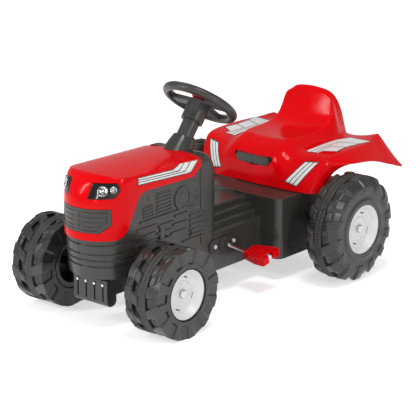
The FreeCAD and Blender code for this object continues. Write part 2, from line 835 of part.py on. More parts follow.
def foot_box(inset):
    """Low box between the cowl and the seat, with a belly that rises towards the front axle."""
    rear = foot_rear_x
    front = belly_rise_x - inset
    points = [(rear, belly_z + inset), (belly_front_x, belly_z + inset), (front, nose_low_z + inset),
              (front, foot_z - inset), (rear, foot_z - inset)]
    half_w = body_half_w - inset
    form = side_prism(points, [0, overrun, 0, 0, 0], -half_w, half_w)
    edges = [edge for edge in form.Edges if edge.BoundBox.ZMin > foot_z - inset - fit_gap
             and edge.BoundBox.YLength < fit_gap]
    return form.makeFillet(cowl_edge_r - inset / 2, edges)


def tunnel(inset):
    """Steps that climb from the foot ledges to the middle of the tunnel."""
    steps = []
    for index in range(step_count):
        half_w = body_half_w - step_w * (index + 1) - inset
        top = foot_z + step_h * (index + 1) - inset
        front = cowl_rear_x + cowl_edge_r + inset
        step = block(foot_rear_x, front, -half_w, half_w, belly_z + step_h * 2, top)
        edges = [edge for edge in step.Edges if edge.BoundBox.ZMin > top - fit_gap
                 and edge.BoundBox.YLength < fit_gap]
        steps.append(step.makeFillet(step_h / 3, edges))
    return steps


def rear_housing(inset):
    half_w = housing_half_w - inset
    corners = [(housing_rear_x + inset, -half_w), (housing_front_x - inset, -half_w),
               (housing_front_x - inset, half_w), (housing_rear_x + inset, half_w)]
    return plan_prism(corners, [housing_corner_r - inset] * 4, housing_low_z + inset, housing_top_z - inset)


def pedestal(inset):
    """Raised box under the seat pan."""
    half_w = pedestal_half_w - inset
    return block(housing_rear_x + inset, pedestal_front_x - inset, -half_w, half_w,
                 housing_top_z - overrun, pedestal_top_z - inset)


def keel(inset):
    """Narrow box under the engine bay that holds the front axle."""
    half_w = keel_half_w - inset
    low = keel_low_z + inset
    high = nose_low_z + wall + inset
    return side_prism([(keel_rear_x + inset, low), (keel_front_x - inset, low), (keel_front_x - inset, high),
                       (keel_rear_x + inset, high)], [overrun - inset, 0, 0, 0], -half_w, half_w)


def grip_form(grow, x0, x1):
    """Rounded carrying grip in the front of the seat, widest at its top."""
    half_w = grip_half_w + grow
    low_half_w = half_w - grip_corner_r
    points = [V(x0, y, z) for y, z in ((-low_half_w, grip_low_z - grow), (low_half_w, grip_low_z - grow),
                                       (half_w, grip_high_z + grow), (-half_w, grip_high_z + grow))]
    return Part.Face(rounded_wire(points, [grip_corner_r + grow] * 4)).extrude(V(x1 - x0, 0, 0))


# Bars on the engine panel: start and end along it, then bottom and top
panel_bar_shares = [
    (0.17, 0.94, 0.555, 0.585), (0.70, 0.99, 0.44, 0.475), (0.46, 0.68, 0.40, 0.435),
    (0.25, 0.44, 0.47, 0.505), (0.72, 1.00, 0.32, 0.355), (0.50, 0.70, 0.28, 0.315),
    (0.26, 0.47, 0.33, 0.37), (0.74, 1.00, 0.20, 0.235), (0.52, 0.71, 0.16, 0.195),
    (0.26, 0.50, 0.20, 0.235), (0.00, 0.33, 0.00, 0.03), (0.60, 0.66, 0.20, 0.40),
]
panel_vent_shares = [(0.50, 0.70, 0.62, 0.97, 6), (0.76, 0.89, 0.62, 0.82, 4), (0.00, 0.22, 0.06, 0.47, 5)]
panel_boss_shares = (0.325, 0.75)


def panel_point(x_share, z_share):
    return (panel_rear_x + x_share * (panel_front_x - panel_rear_x),
            panel_low_z + z_share * (panel_high_z - panel_low_z))


def panel_bar(shares, reach):
    x0, z0 = panel_point(shares[0], shares[2])
    x1, z1 = panel_point(shares[1], shares[3])
    return block(x0, x1, body_half_w - wall / 2, body_half_w + reach, z0, z1)


def engine_relief():
    """Raised engine shapes on the left side of the engine bay."""
    shapes = [panel_bar(shares, relief_h) for shares in panel_bar_shares]
    for x0, x1, z0, z1, count in panel_vent_shares:
        shapes.append(panel_bar((x0, x1, z0, z1), relief_h / 3))
        for index in range(count):
            low = z0 + (z1 - z0) * index / count
            shapes.append(panel_bar((x0, x1, low, low + (z1 - z0) / count / 2), relief_h))
    x, z = panel_point(*panel_boss_shares)
    outer = cross_rod(x, z, panel_boss_r, body_half_w - wall / 2, body_half_w + relief_h)
    dish_r = panel_boss_r - panel_boss_ring_w
    dish = cross_rod(x, z, dish_r, body_half_w + relief_h / 3, body_half_w + overrun)
    dome = cross_rod(x, z, panel_boss_r / 2, body_half_w, body_half_w + relief_h * 2 / 3)
    return shapes + [outer.cut(dish).fuse(dome)]


# Places of the body screws, in shares of the length of the bay or the housing and of the body's height
bay_screw_shares = [(0.797, 0.86), (0.242, 0.723), (0.965, 0.393), (0.323, 0.434)]
housing_screw_shares = [(0.203, 0.4545), (0.0685, 0.083), (0.766, 0.4835)]


def body_screw_places():
    """Middle of each body screw and the half width of the body there."""
    bay_l = nose_center_x - cowl_rear_x
    housing_l = housing_front_x - housing_rear_x
    height = body_top_z - belly_z
    places = [(cowl_rear_x + x * bay_l, belly_z + z * height, body_half_w) for x, z in bay_screw_shares]
    return places + [(housing_rear_x + x * housing_l, belly_z + z * height, housing_half_w)
                     for x, z in housing_screw_shares]


def body_outer():
    forms = [engine_bay(0), cowl(0), foot_box(0), rear_housing(0), pedestal(0), keel(0)] + tunnel(0)
    return fused(forms)


def body_hollow():
    forms = [engine_bay(wall), cowl(wall), foot_box(wall), rear_housing(wall), pedestal(wall), keel(wall)]
    return fused(forms + tunnel(wall))


# Heights of the lower nose's grooves, in shares of its height
nose_groove_shares = (0.86, 0.62, 0.46, 0.3)


def nose_grooves():
    """Level grooves round the lower nose."""
    cuts = []
    for share in nose_groove_shares:
        z = nose_low_z + share * (hood_low_z - nose_low_z)
        ring = engine_bay(-overrun).cut(engine_bay(groove_depth))
        half_w = hood_r + overrun
        band = block(nose_center_x - overrun, nose_x + overrun, -half_w, half_w, z, z + groove_h)
        cuts.append(ring.common(band))
    return cuts


def body():
    """Both halves in one piece, hollow, with bosses, holes and relief."""
    outer = body_outer()
    solid = outer.cut(body_hollow())
    bosses = []
    for x, z, half_w in body_screw_places():
        bosses.append(cross_rod(x, z, screw_boss_r, -half_w + wall / 2, half_w - wall / 2))
    relief = engine_relief()
    relief += [mirrored(shape) for shape in relief]
    plug = grip_form(-part_gap * 2, pedestal_front_x - wall, seat_front_x - part_gap * 2)
    solid = fused([solid, plug] + bosses + relief)
    cuts = nose_grooves()
    for x, z, half_w in body_screw_places():
        cuts.append(cross_rod(x, z, screw_r + screw_gap, -screw_grip - screw_gap, half_w + overrun))
        cuts.append(cross_rod(x, z, screw_head_r + screw_gap, half_w - screw_head_h, half_w + overrun))
    cuts.append(cross_rod(crank_x, crank_z, bearing_sleeve_r + seat_gap, -housing_half_w, housing_half_w))
    cuts.append(cross_rod(rear_x, rear_z, bearing_sleeve_r + seat_gap, -housing_half_w - overrun,
                          housing_half_w + overrun))
    for x in (-bearing_ear_reach, bearing_ear_reach):
        cuts.append(cross_rod(crank_x + x, crank_z, screw_r + seat_gap, -housing_half_w, housing_half_w))
    for x, y in seat_screw_places():
        cuts.append(Part.makeCylinder(screw_r + screw_gap, overrun, V(x, y, pedestal_top_z - overrun / 2)))
    cuts.append(column_room(seat_gap))
    beam_room = beam_h / 2 + part_gap
    cuts.append(block(front_x - beam_room, front_x + beam_room, -kingpin_y, kingpin_y, front_z - beam_room,
                      front_z + beam_room))
    swing = (steering_pin_point() - along(steering_foot())).Length + overrun
    cuts.append(block(tie_x - swing / 2, keel_rear_x, -swing, swing, nose_low_z - overrun,
                      nose_low_z + overrun / 2))
    cuts += hitch_screw_holes()
    return solid.cut(Part.makeCompound(cuts))


def body_halves():
    whole = body()
    box = block(tail_x - overrun, nose_x + overrun, 0, rear_outer_y, -overrun, hood_top_z + overrun)
    return whole.common(box), whole.common(mirrored(box))


def body_screws():
    screws = []
    for x, z, half_w in body_screw_places():
        top = half_w - screw_gap
        head = cross_rod(x, z, screw_head_r, top - screw_head_h + screw_gap, top)
        screws.append(head.fuse(cross_rod(x, z, screw_r, -screw_grip, top - screw_head_h / 2)))
    return Part.makeCompound(screws)


# Seat and fenders, one thin moulding that stands on the pedestal

# Rows from front to tail: place along the seat, to 1 over the pedestal and on to 2 at the tail, then pan
# height, pan half width, deck height, fold half width, fold height, flange half width, flange height
# and hem half width.
seat_row_shares = [
    (0.00, 0.67, 1.00, 0.60, 0.725, 0.57, 0.762, 0.40, 0.769),
    (0.05, 0.78, 1.01, 0.67, 0.745, 0.64, 0.782, 0.48, 0.790),
    (0.15, 0.91, 1.00, 0.73, 0.765, 0.70, 0.798, 0.53, 0.804),
    (0.29, 1.00, 1.00, 0.78, 0.782, 0.75, 0.808, 0.56, 0.812),
    (0.68, 0.99, 1.00, 0.82, 0.790, 0.80, 0.972, 0.66, 0.988),
    (1.18, 0.985, 0.98, 0.81, 0.770, 0.80, 0.975, 0.57, 1.000),
    (1.71, 0.68, 0.945, 0.76, 0.735, 0.80, 0.930, 0.46, 1.010),
    (2.00, 0.63, 0.945, 0.74, 0.700, 0.87, 0.870, 0.60, 1.015),
]


def seat_row_x(share, inset):
    """Place of a row: the front part ends where the pedestal does, the rest goes on to the tail."""
    front = seat_front_x - inset
    tail = tail_x + inset
    if share <= 1:
        return front + share * (housing_rear_x - front)
    return housing_rear_x + (share - 1) * (tail - housing_rear_x)


def seat_form(inset):
    """Outer form of the seat moulding, or its hollow when an inset is given."""
    slices = []
    height = pan_z - skirt_low_z
    for row in seat_row_shares:
        share, pan_h, pan_w, deck_h, fold_w, fold_h, flange_w, flange_h, hem_w = row
        x = seat_row_x(share, inset)
        pan_edge = pan_w * pan_half_w - inset
        half = [
            (hem_w * fender_half_w - inset, skirt_low_z - (overrun if inset else 0)),
            (flange_w * fender_half_w - inset, skirt_low_z + flange_h * height - inset),
            (fold_w * fender_half_w - inset, skirt_low_z + fold_h * height - inset),
            (pan_edge + pan_slope_w, skirt_low_z + deck_h * height - inset),
            (pan_edge, skirt_low_z + pan_h * height - inset),
        ]
        points = [V(x, y, z) for y, z in half] + [V(x, -y, z) for y, z in reversed(half)]
        radii = [0, fold_r, fold_r, fold_r, fold_r, fold_r, fold_r, fold_r, fold_r, 0]
        slices.append(rounded_wire(points, radii))
    return Part.makeLoft(slices, True, True)


# Rows up the seat back: height, front, rear and half width
seat_back_row_shares = [
    (0.00, 0.00, 1.00, 1.00), (0.31, 0.00, 0.97, 1.00), (0.40, 0.26, 0.96, 0.99), (0.62, 0.41, 0.88, 0.96),
    (0.77, 0.44, 0.80, 0.85), (0.90, 0.47, 0.71, 0.66), (1.00, 0.54, 0.63, 0.42),
]


def seat_back(inset):
    """Back rest as level outlines that narrow towards the top."""
    slices = []
    low = fender_z - overrun
    depth = seat_back_front_x - seat_back_rear_x
    rows = seat_back_row_shares if inset == 0 else seat_back_row_shares[:-1]
    for height, front_share, rear_share, width in rows:
        front = seat_back_front_x - front_share * depth - inset
        rear = seat_back_front_x - rear_share * depth + inset
        half_w = width * seat_back_half_w - inset
        z = low + height * (seat_back_top_z - low) - inset
        points = [V(front, -half_w, z), V(front, half_w, z), V(rear, half_w, z), V(rear, -half_w, z)]
        slices.append(rounded_wire(points, [seat_back_round_share * (front - rear)] * 4))
    return Part.makeLoft(slices, True, True)


# Hem of the fender above the rear wheel, from the axle in shares of the wheel radius, and behind the
# wheel's top with the place along in shares of the way to the tail
arch_shares = [(0.31, 0.30), (0.31, 0.61), (0.16, 0.75), (0.10, 1.07), (-0.14, 1.15), (-0.40, 1.16)]
arch_tail_shares = [(0.36, 1.06), (0.80, 0.85), (1.18, 0.68), (1.18, 0.30)]


def arch_cut():
    points = [(rear_x + x * rear_wheel_r, rear_z + z * rear_wheel_r) for x, z in arch_shares]
    last_x = points[-1][0]
    points += [(last_x + x * (tail_x - last_x), rear_z + z * rear_wheel_r) for x, z in arch_tail_shares]
    inner_y = rear_wheel_y - rear_wheel_w / 2 - overrun
    radii = [0, fold_r / 2, fold_r, fold_r, fold_r, fold_r * 3, fold_r * 3, fold_r * 3, 0, 0]
    return side_prism(points, radii, inner_y, rear_outer_y + overrun)


# Places of the seat screws, in shares of the pan's length over the pedestal and of the pedestal's half width
seat_screw_shares = [(0.35, 0.6), (0.35, -0.6), (0.86, 0.6), (0.86, -0.6)]


def seat_screw_places():
    return [(pedestal_front_x + along_share * (pan_rear_x - pedestal_front_x), side_share * pedestal_half_w)
            for along_share, side_share in seat_screw_shares]


def seat():
    form = fused([seat_form(0), seat_back(0)])
    shell = form.cut(fused([seat_form(wall), seat_back(wall)]))
    bosses = []
    holes = []
    for x, y in seat_screw_places():
        boss = Part.makeCylinder(seat_boss_r, pan_z - pedestal_top_z, V(x, y, pedestal_top_z))
        bosses.append(boss.common(form))
        holes.append(Part.makeCylinder(screw_r + seat_gap, screw_grip / 2, V(x, y, pedestal_top_z)))
    shell = fused([shell] + bosses)
    cut = arch_cut()
    grip = grip_form(0, seat_front_x - overrun, seat_front_x + overrun)
    return shell.cut(Part.makeCompound([cut, mirrored(cut), grip] + holes))


def seat_screws():
    screws = []
    for x, y in seat_screw_places():
        low = pedestal_top_z - wall - screw_head_h - seat_gap
        head = Part.makeCylinder(screw_head_r, screw_head_h, V(x, y, low))
        shank = Part.makeCylinder(screw_r, wall + screw_head_h + screw_grip / 3, V(x, y, low))
        screws.append(head.fuse(shank))
    return Part.makeCompound(screws)


# Front weight and tow hitch

def front_weight():
    """Ribbed block hung on the front of the keel."""
    rear = keel_front_x
    form = side_prism([(rear, weight_low_z), (weight_front_x, weight_low_z), (weight_front_x, weight_high_z),
                       (rear, weight_high_z)], [weight_corner_r, weight_corner_r, weight_corner_r / 3, 0],
                      -weight_half_w, weight_half_w)
    pitch = weight_half_w * 2 / weight_slot_count
    floor = weight_front_x - weight_slot_depth
    slot_low = weight_low_z + weight_corner_r
    slot_high = weight_high_z - weight_corner_r
    slots = []
    studs = []
    for index in range(weight_slot_count):
        y = -weight_half_w + pitch * (index + 0.5)
        slots.append(block(floor, weight_front_x + overrun, y - weight_slot_w / 2, y + weight_slot_w / 2,
                           slot_low, slot_high))
        stud_end = V(weight_front_x + relief_h / 2, y, slot_high)
        studs.append(rod(V(floor, y, slot_high), stud_end, weight_stud_r))
    return fused([form.cut(Part.makeCompound(slots))] + studs)


def hitch_screw_holes():
    """Screw holes through the hitch and the rear wall of the housing."""
    z = hitch_z + hitch_t / 2
    return [rod(V(housing_rear_x - overrun, y, z), V(housing_rear_x + overrun, y, z), screw_r + seat_gap)
            for y in (-hitch_w, hitch_w)]


def tow_hitch():
    half_w = hitch_w / 2
    low = hitch_z + hitch_t / 2 - hitch_flange_h / 2
    flange_half_w = hitch_w + half_w / 2
    flange = block(housing_rear_x - hitch_flange_t, housing_rear_x, -flange_half_w, flange_half_w, low,
                   low + hitch_flange_h)
    end = housing_rear_x - hitch_reach
    tongue = plan_prism([(end, -half_w), (housing_rear_x, -half_w), (housing_rear_x, half_w), (end, half_w)],
                        [half_w / 2, 0, 0, half_w / 2], hitch_z, hitch_z + hitch_t)
    hole_x = end + half_w * 2 / 3
    hole = Part.makeCylinder(hitch_hole_r, hitch_t + overrun * 2, V(hole_x, 0, hitch_z - overrun))
    return fused([flange, tongue]).cut(Part.makeCompound([hole] + hitch_screw_holes()))


def hitch_screws():
    screws = []
    for y in (-hitch_w, hitch_w):
        z = hitch_z + hitch_t / 2
        outside = housing_rear_x - hitch_flange_t
        head_end = V(outside - screw_head_h, y, z)
        head = rod(head_end, V(outside, y, z), screw_head_r)
        screws.append(head.fuse(rod(head_end, V(housing_rear_x + wall, y, z), screw_r)))
    return Part.makeCompound(screws)


# Crank, bearings, pedals, rear axle and chain

def crank():
    """Bent steel rod: a straight middle, two opposite arms and two pedal pins."""
    angle = math.radians(crank_angle)
    arm = V(math.cos(angle), 0, math.sin(angle)) * crank_r
    middle = V(crank_x, 0, crank_z)
    shapes = [cross_rod(crank_x, crank_z, crank_rod_r, -crank_arm_y, crank_arm_y)]
    for side in (1, -1):
        elbow = middle + V(0, side * crank_arm_y, 0)
        pin = elbow + arm * side
        end = pin + V(0, side * (pedal_pin_length() + part_gap + pedal_cap_h), 0)
        shapes += [rod(elbow, pin, crank_rod_r), rod(pin, end, crank_rod_r)]
        shapes += [Part.makeSphere(crank_rod_r, elbow), Part.makeSphere(crank_rod_r, pin)]
    return fused(shapes)


def pedal_start():
    return crank_arm_y + crank_rod_r + part_gap * 2


def pedal_pin(side):
    angle = math.radians(crank_angle)
    return V(crank_x + side * crank_r * math.cos(angle), 0, crank_z + side * crank_r * math.sin(angle))


def pedal_pin_length():
    """Length of the crank pin from the arm to the notch in the pedal."""
    return pedal_start() - crank_arm_y + pedal_l - pedal_notch_l


def pedal():
    """Left pedal, wider outside, with grooves, a bore for the crank pin and a notch for its cap."""
    start = pedal_start()
    end = start + pedal_l
    neck = pedal_neck_w / 2
    half_w = pedal_w / 2
    notch = pedal_notch_w / 2
    floor_y = end - pedal_notch_l
    wide_y = end - pedal_notch_l * 2
    points = [(-neck, start), (neck, start), (half_w, wide_y), (half_w, end), (notch, end), (notch, floor_y),
              (-notch, floor_y), (-notch, end), (-half_w, end), (-half_w, wide_y)]
    radii = [pedal_corner_r, pedal_corner_r, pedal_corner_r * 2, pedal_corner_r, pedal_corner_r / 2, 0, 0,
             pedal_corner_r / 2, pedal_corner_r, pedal_corner_r * 2]
    form = plan_prism(points, radii, -pedal_t / 2, pedal_t / 2)
    cuts = [cross_rod(0, 0, crank_rod_r + fit_gap, start - overrun, end + overrun)]
    pitch = (pedal_l - pedal_notch_l) / (pedal_groove_count + 1)
    floor = pedal_t / 2 - pedal_groove_depth
    for index in range(pedal_groove_count):
        y0 = start + pitch * (index + 1) - pedal_groove_w / 2
        for low, high in ((floor, floor + overrun), (-floor - overrun, -floor)):
            cuts.append(block(-neck, neck, y0, y0 + pedal_groove_w, low, high))
    return form.cut(Part.makeCompound(cuts))


def placed_pedal(side):
    shape = turned_about(pedal(), V(0, 0, 0), V(0, 1, 0), pedal_tilt)
    shape = shape if side > 0 else mirrored(shape)
    return moved(shape, pedal_pin(side))


def pedal_cap(side):
    start = crank_arm_y + pedal_pin_length() + part_gap
    hole_r = crank_rod_r + seat_gap
    hole_end = start + pedal_cap_h
    end = start + pedal_cap_h * 2
    cap = turned([(0, hole_end), (hole_r, hole_end), (hole_r, start), (pedal_cap_r, start),
                  (pedal_cap_r, end), (0, end)], [0, 0, 0, 0, pedal_cap_h / 2, 0])
    cap = cap if side > 0 else mirrored(cap)
    return moved(cap, pedal_pin(side))


def crank_bearing():
    """Left bearing: a sleeve through the body wall, a round cap and two ears."""
    outside = body_half_w
    shapes = [cross_rod(crank_x, crank_z, bearing_sleeve_r, outside - wall * 2, outside + bearing_t),
              cross_rod(crank_x, crank_z, bearing_r, outside, outside + bearing_t)]
    half_w = bearing_ear_w / 2
    reach = bearing_ear_reach + half_w
    corners = [(crank_x - reach, crank_z - half_w), (crank_x + reach, crank_z - half_w),
               (crank_x + reach, crank_z + half_w), (crank_x - reach, crank_z + half_w)]
    ear = side_prism(corners, [half_w - part_gap] * 4, outside, outside + bearing_ear_t)
    shape = fused(shapes + [ear])
    cuts = [cross_rod(crank_x, crank_z, crank_rod_r + fit_gap, 0, outside + overrun)]
    for x in (-bearing_ear_reach, bearing_ear_reach):
        cuts.append(cross_rod(crank_x + x, crank_z, screw_r + seat_gap, 0, outside + overrun))
    return shape.cut(Part.makeCompound(cuts))


def bearing_screws():
    screws = []
    for x in (-bearing_ear_reach, bearing_ear_reach):
        seat_y = body_half_w + bearing_ear_t
        head = cross_rod(crank_x + x, crank_z, screw_head_r, seat_y, seat_y + screw_head_h)
        shank = cross_rod(crank_x + x, crank_z, screw_r, body_half_w - wall, seat_y + screw_head_h / 2)
        screw = head.fuse(shank)
        screws += [screw, mirrored(screw)]
    return Part.makeCompound(screws)


def rear_bush():
    outside = housing_half_w
    shape = fused([cross_rod(rear_x, rear_z, bearing_sleeve_r, outside - wall * 2, outside + bush_t),
                   cross_rod(rear_x, rear_z, bearing_r, outside, outside + bush_t)])
    return shape.cut(cross_rod(rear_x, rear_z, axle_r + fit_gap, 0, outside + overrun))


def rear_axle():
    end = rear_outer_y - hub_recess + hub_ring_h + cap_hole_depth
    return cross_rod(rear_x, rear_z, axle_r, -end, end)


def rear_spacers():
    start = housing_half_w + bush_t + part_gap
    end = rear_wheel_y - rear_wheel_w / 2 + rear_pocket_depth - part_gap
    spacer = cross_rod(rear_x, rear_z, collar_r, start, end)
    spacer = spacer.cut(cross_rod(rear_x, rear_z, axle_r + seat_gap, 0, rear_outer_y))
    return Part.makeCompound([spacer, mirrored(spacer)])


def chain_path(pitch):
    """Radii, tangent angle and length of the loop round both sprockets for one pitch."""
    big = crank_teeth * pitch / math.tau
    small = rear_teeth * pitch / math.tau
    span = math.hypot(crank_x - rear_x, crank_z - rear_z)
    slope = math.asin((big - small) / span)
    straight = span * math.cos(slope)
    length = straight * 2 + big * (math.pi + slope * 2) + small * (math.pi - slope * 2)
    return big, small, slope, straight, length


def chain_links():
    """Even number of links that comes nearest to the wanted pitch."""
    return 2 * round(chain_path(chain_pitch_goal)[4] / chain_pitch_goal / 2)


def chain_pitch():
    """Pitch at which the whole number of links closes round the sprockets."""
    pitch = chain_pitch_goal
    for _ in range(pitch_rounds):
        pitch = chain_path(pitch)[4] / chain_links()
    return pitch


def chain_frame():
    """Angle of the line from the rear axle to the crank."""
    return math.atan2(crank_z - rear_z, crank_x - rear_x)


def around(x, z, radius, angle):
    return V(x + radius * math.cos(angle), 0, z + radius * math.sin(angle))


def chain_loop(offset):
    """Closed wire round both sprockets at a distance from the pitch line."""
    big, small, slope, _, _ = chain_path(chain_pitch())
    base = chain_frame()
    up = base + math.pi / 2 - slope
    down = base - math.pi / 2 + slope
    big += offset
    small += offset
    top = around(crank_x, crank_z, big, up)
    bottom = around(crank_x, crank_z, big, down)
    rear_top = around(rear_x, rear_z, small, up)
    rear_bottom = around(rear_x, rear_z, small, down)
    front_arc = Part.Arc(top, around(crank_x, crank_z, big, base), bottom)
    rear_arc = Part.Arc(rear_bottom, around(rear_x, rear_z, small, base + math.pi), rear_top)
    return Part.Wire([front_arc.toShape(), Part.makeLine(bottom, rear_bottom), rear_arc.toShape(),
                      Part.makeLine(rear_top, top)])


def roller_places():
    """Middle of each chain roller, starting where the upper run meets the crank sprocket."""
    pitch = chain_pitch()
    big, small, slope, straight, _ = chain_path(pitch)
    base = chain_frame()
    up = base + math.pi / 2 - slope
    down = base - math.pi / 2 + slope
    big_arc = big * (math.pi + slope * 2)
    small_arc = small * (math.pi - slope * 2)
    places = []
    for index in range(chain_links()):
        run = index * pitch
        if run < big_arc:
            places.append(around(crank_x, crank_z, big, up - run / big))
        elif run < big_arc + straight:
            start = around(crank_x, crank_z, big, down)
            end = around(rear_x, rear_z, small, down)
            places.append(start + (end - start) * ((run - big_arc) / straight))
        elif run < big_arc + straight + small_arc:
            places.append(around(rear_x, rear_z, small, down - (run - big_arc - straight) / small))
        else:
            start = around(rear_x, rear_z, small, up)
            end = around(crank_x, crank_z, big, up)
            places.append(start + (end - start) * ((run - big_arc - straight - small_arc) / straight))
    return places


def drive_chain():
    half_h = plate_h / 2
    band = Part.Face(chain_loop(half_h)).cut(Part.Face(chain_loop(-half_h)))
    inner_y = sprocket_t / 2 + plate_gap
    plates = []
    for start in (chain_y + inner_y, chain_y - inner_y - plate_t):
        plates.append(moved(band.extrude(V(0, plate_t, 0)), V(0, start, 0)))
    reach = inner_y + plate_t / 2
    rollers = [cross_rod(place.x, place.z, roller_r, chain_y - reach, chain_y + reach)
               for place in roller_places()]
    return fused(plates + rollers)


def sprocket(x, z, teeth, shaft_r, first_angle):
    """Toothed disc with a hub, its gaps where the chain's rollers lie."""
    radius = teeth * chain_pitch() / math.tau
    half_t = sprocket_t / 2
    disc = cross_rod(x, z, radius + tooth_h, chain_y - half_t, chain_y + half_t)
    hub = cross_rod(x, z, sprocket_hub_r, chain_y - sprocket_hub_h, chain_y + sprocket_hub_h)
    cuts = [cross_rod(x, z, shaft_r + seat_gap, chain_y - overrun, chain_y + overrun)]
    gaps = [around(x, z, radius, first_angle + math.tau * index / teeth) for index in range(teeth)]
    for place in gaps + roller_places():
        cuts.append(cross_rod(place.x, place.z, roller_r + roller_gap, chain_y - half_t - fit_gap,
                              chain_y + half_t + fit_gap))
    toothed = disc.fuse(hub).cut(Part.makeCompound(cuts))
    return max(toothed.Solids, key=lambda solid: solid.Volume)


def crank_sprocket():
    slope = chain_path(chain_pitch())[2]
    return sprocket(crank_x, crank_z, crank_teeth, crank_rod_r, chain_frame() + math.pi / 2 - slope)


def rear_sprocket():
    pitch = chain_pitch()
    big, small, slope, straight, _ = chain_path(pitch)
    before = big * (math.pi + slope * 2) + straight
    first = math.ceil(before / pitch) * pitch - before
    return sprocket(rear_x, rear_z, rear_teeth, axle_r, chain_frame() - math.pi / 2 + slope - first / small)


os.makedirs("parts", exist_ok=True)
save("hood", hood())
save("grille", grille())
lamp = headlight()
save("headlight_left", lamp)
save("headlight_right", mirrored(lamp))
save_wheel("front_wheel", front_x, front_wheel_y, front_z, front_wheel_r, front_wheel_w, front_lug_count,
           front_pocket_depth)
save_wheel("rear_wheel", rear_x, rear_wheel_y, rear_z, rear_wheel_r, rear_wheel_w, rear_lug_count,
           rear_pocket_depth)
save("front_axle", front_axle())
save("kingpin_left", kingpin(kingpin_y))
save("kingpin_right", kingpin(-kingpin_y))
left_knuckle = knuckle()
save("knuckle_left", left_knuckle)
save("knuckle_right", mirrored(left_knuckle))
save("tie_rod", tie_rod())
save("steering_rod", steering_rod())
save("steering_column", steering_column())
save("steering_collar", steering_collar())
save("steering_bracket", steering_bracket())
save("steering_wheel", steering_wheel())
save("horn_button", horn_button())
save("horn_spring", horn_spring())
save("seat", seat())
save("seat_screws", seat_screws())
left_half, right_half = body_halves()
save("body_left_half", left_half)
save("body_right_half", right_half)
save("body_screws", body_screws())
save("front_weight", front_weight())
save("tow_hitch", tow_hitch())
save("hitch_screws", hitch_screws())
save("crank", crank())
save("crank_bearing_left", crank_bearing())
save("crank_bearing_right", mirrored(crank_bearing()))
save("bearing_screws", bearing_screws())
save("pedal_left", placed_pedal(1))
save("pedal_right", placed_pedal(-1))
save("pedal_cap_left", pedal_cap(1))
save("pedal_cap_right", pedal_cap(-1))
save("rear_axle", rear_axle())
save("rear_bush_left", rear_bush())
save("rear_bush_right", mirrored(rear_bush()))
save("rear_spacers", rear_spacers())
save("rear_sprocket", rear_sprocket())
save("crank_sprocket", crank_sprocket())
save("drive_chain", drive_chain())
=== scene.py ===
import json
import math

import bmesh
import bpy
import numpy as np
from mathutils import Matrix, Vector
from mathutils.bvhtree import BVHTree


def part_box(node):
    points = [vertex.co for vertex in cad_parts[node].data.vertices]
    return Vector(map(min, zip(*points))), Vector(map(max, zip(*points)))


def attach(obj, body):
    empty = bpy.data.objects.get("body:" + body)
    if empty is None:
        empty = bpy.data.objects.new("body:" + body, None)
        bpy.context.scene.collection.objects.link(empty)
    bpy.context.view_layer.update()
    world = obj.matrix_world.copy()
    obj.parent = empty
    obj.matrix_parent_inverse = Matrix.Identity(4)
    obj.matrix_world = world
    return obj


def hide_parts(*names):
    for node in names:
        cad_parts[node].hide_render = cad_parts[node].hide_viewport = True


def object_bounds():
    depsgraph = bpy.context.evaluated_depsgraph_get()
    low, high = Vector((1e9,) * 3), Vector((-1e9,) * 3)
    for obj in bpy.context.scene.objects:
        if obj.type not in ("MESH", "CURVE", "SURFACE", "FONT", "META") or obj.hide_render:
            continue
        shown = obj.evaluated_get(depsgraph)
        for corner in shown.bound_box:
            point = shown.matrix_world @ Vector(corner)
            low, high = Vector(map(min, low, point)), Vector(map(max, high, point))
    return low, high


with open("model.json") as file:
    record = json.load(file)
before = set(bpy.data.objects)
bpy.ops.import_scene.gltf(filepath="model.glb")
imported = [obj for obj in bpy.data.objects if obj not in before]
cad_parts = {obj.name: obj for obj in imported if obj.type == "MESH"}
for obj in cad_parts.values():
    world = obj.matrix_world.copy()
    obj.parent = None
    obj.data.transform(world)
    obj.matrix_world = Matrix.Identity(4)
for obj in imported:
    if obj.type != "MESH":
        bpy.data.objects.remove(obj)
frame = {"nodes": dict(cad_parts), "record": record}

# Looks of a child's ride-on pedal tractor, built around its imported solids.
# Frame: metres, +X forward, +Y to the rider's left, +Z up, origin on the floor.

cad_low, cad_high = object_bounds()
MM = 0.001
nodes = frame["nodes"]
behaviour = frame["record"]["behaviour"]
body_of = {node: body for body, members in behaviour["bodies"].items() for node in members}
slot_of = {row["node"]: row["material_slot"] for row in frame["record"]["subparts"]}
joints = {joint["name"]: joint for joint in behaviour["joints"]}
sides = ((1, "left"), (-1, "right"))


# Materials

cloud_scale, cloud_detail = 14, 4
smear_scale, smear_detail = 45, 6
grain_detail = 2
noise_low, noise_high = 0.3, 0.7
grain_strength = 0.5


def srgb(red, green, blue):
    """Linear colour of an 8-bit screen colour."""
    shares = [value / 255 for value in (red, green, blue)]
    linear = [share / 12.92 if share <= 0.04045 else ((share + 0.055) / 1.055) ** 2.4 for share in shares]
    return (*linear, 1.0)


def noise(tree, place, scale, detail):
    texture = tree.nodes.new("ShaderNodeTexNoise")
    texture.inputs["Scale"].default_value = scale
    texture.inputs["Detail"].default_value = detail
    tree.links.new(place.outputs["Object"], texture.inputs["Vector"])
    return texture


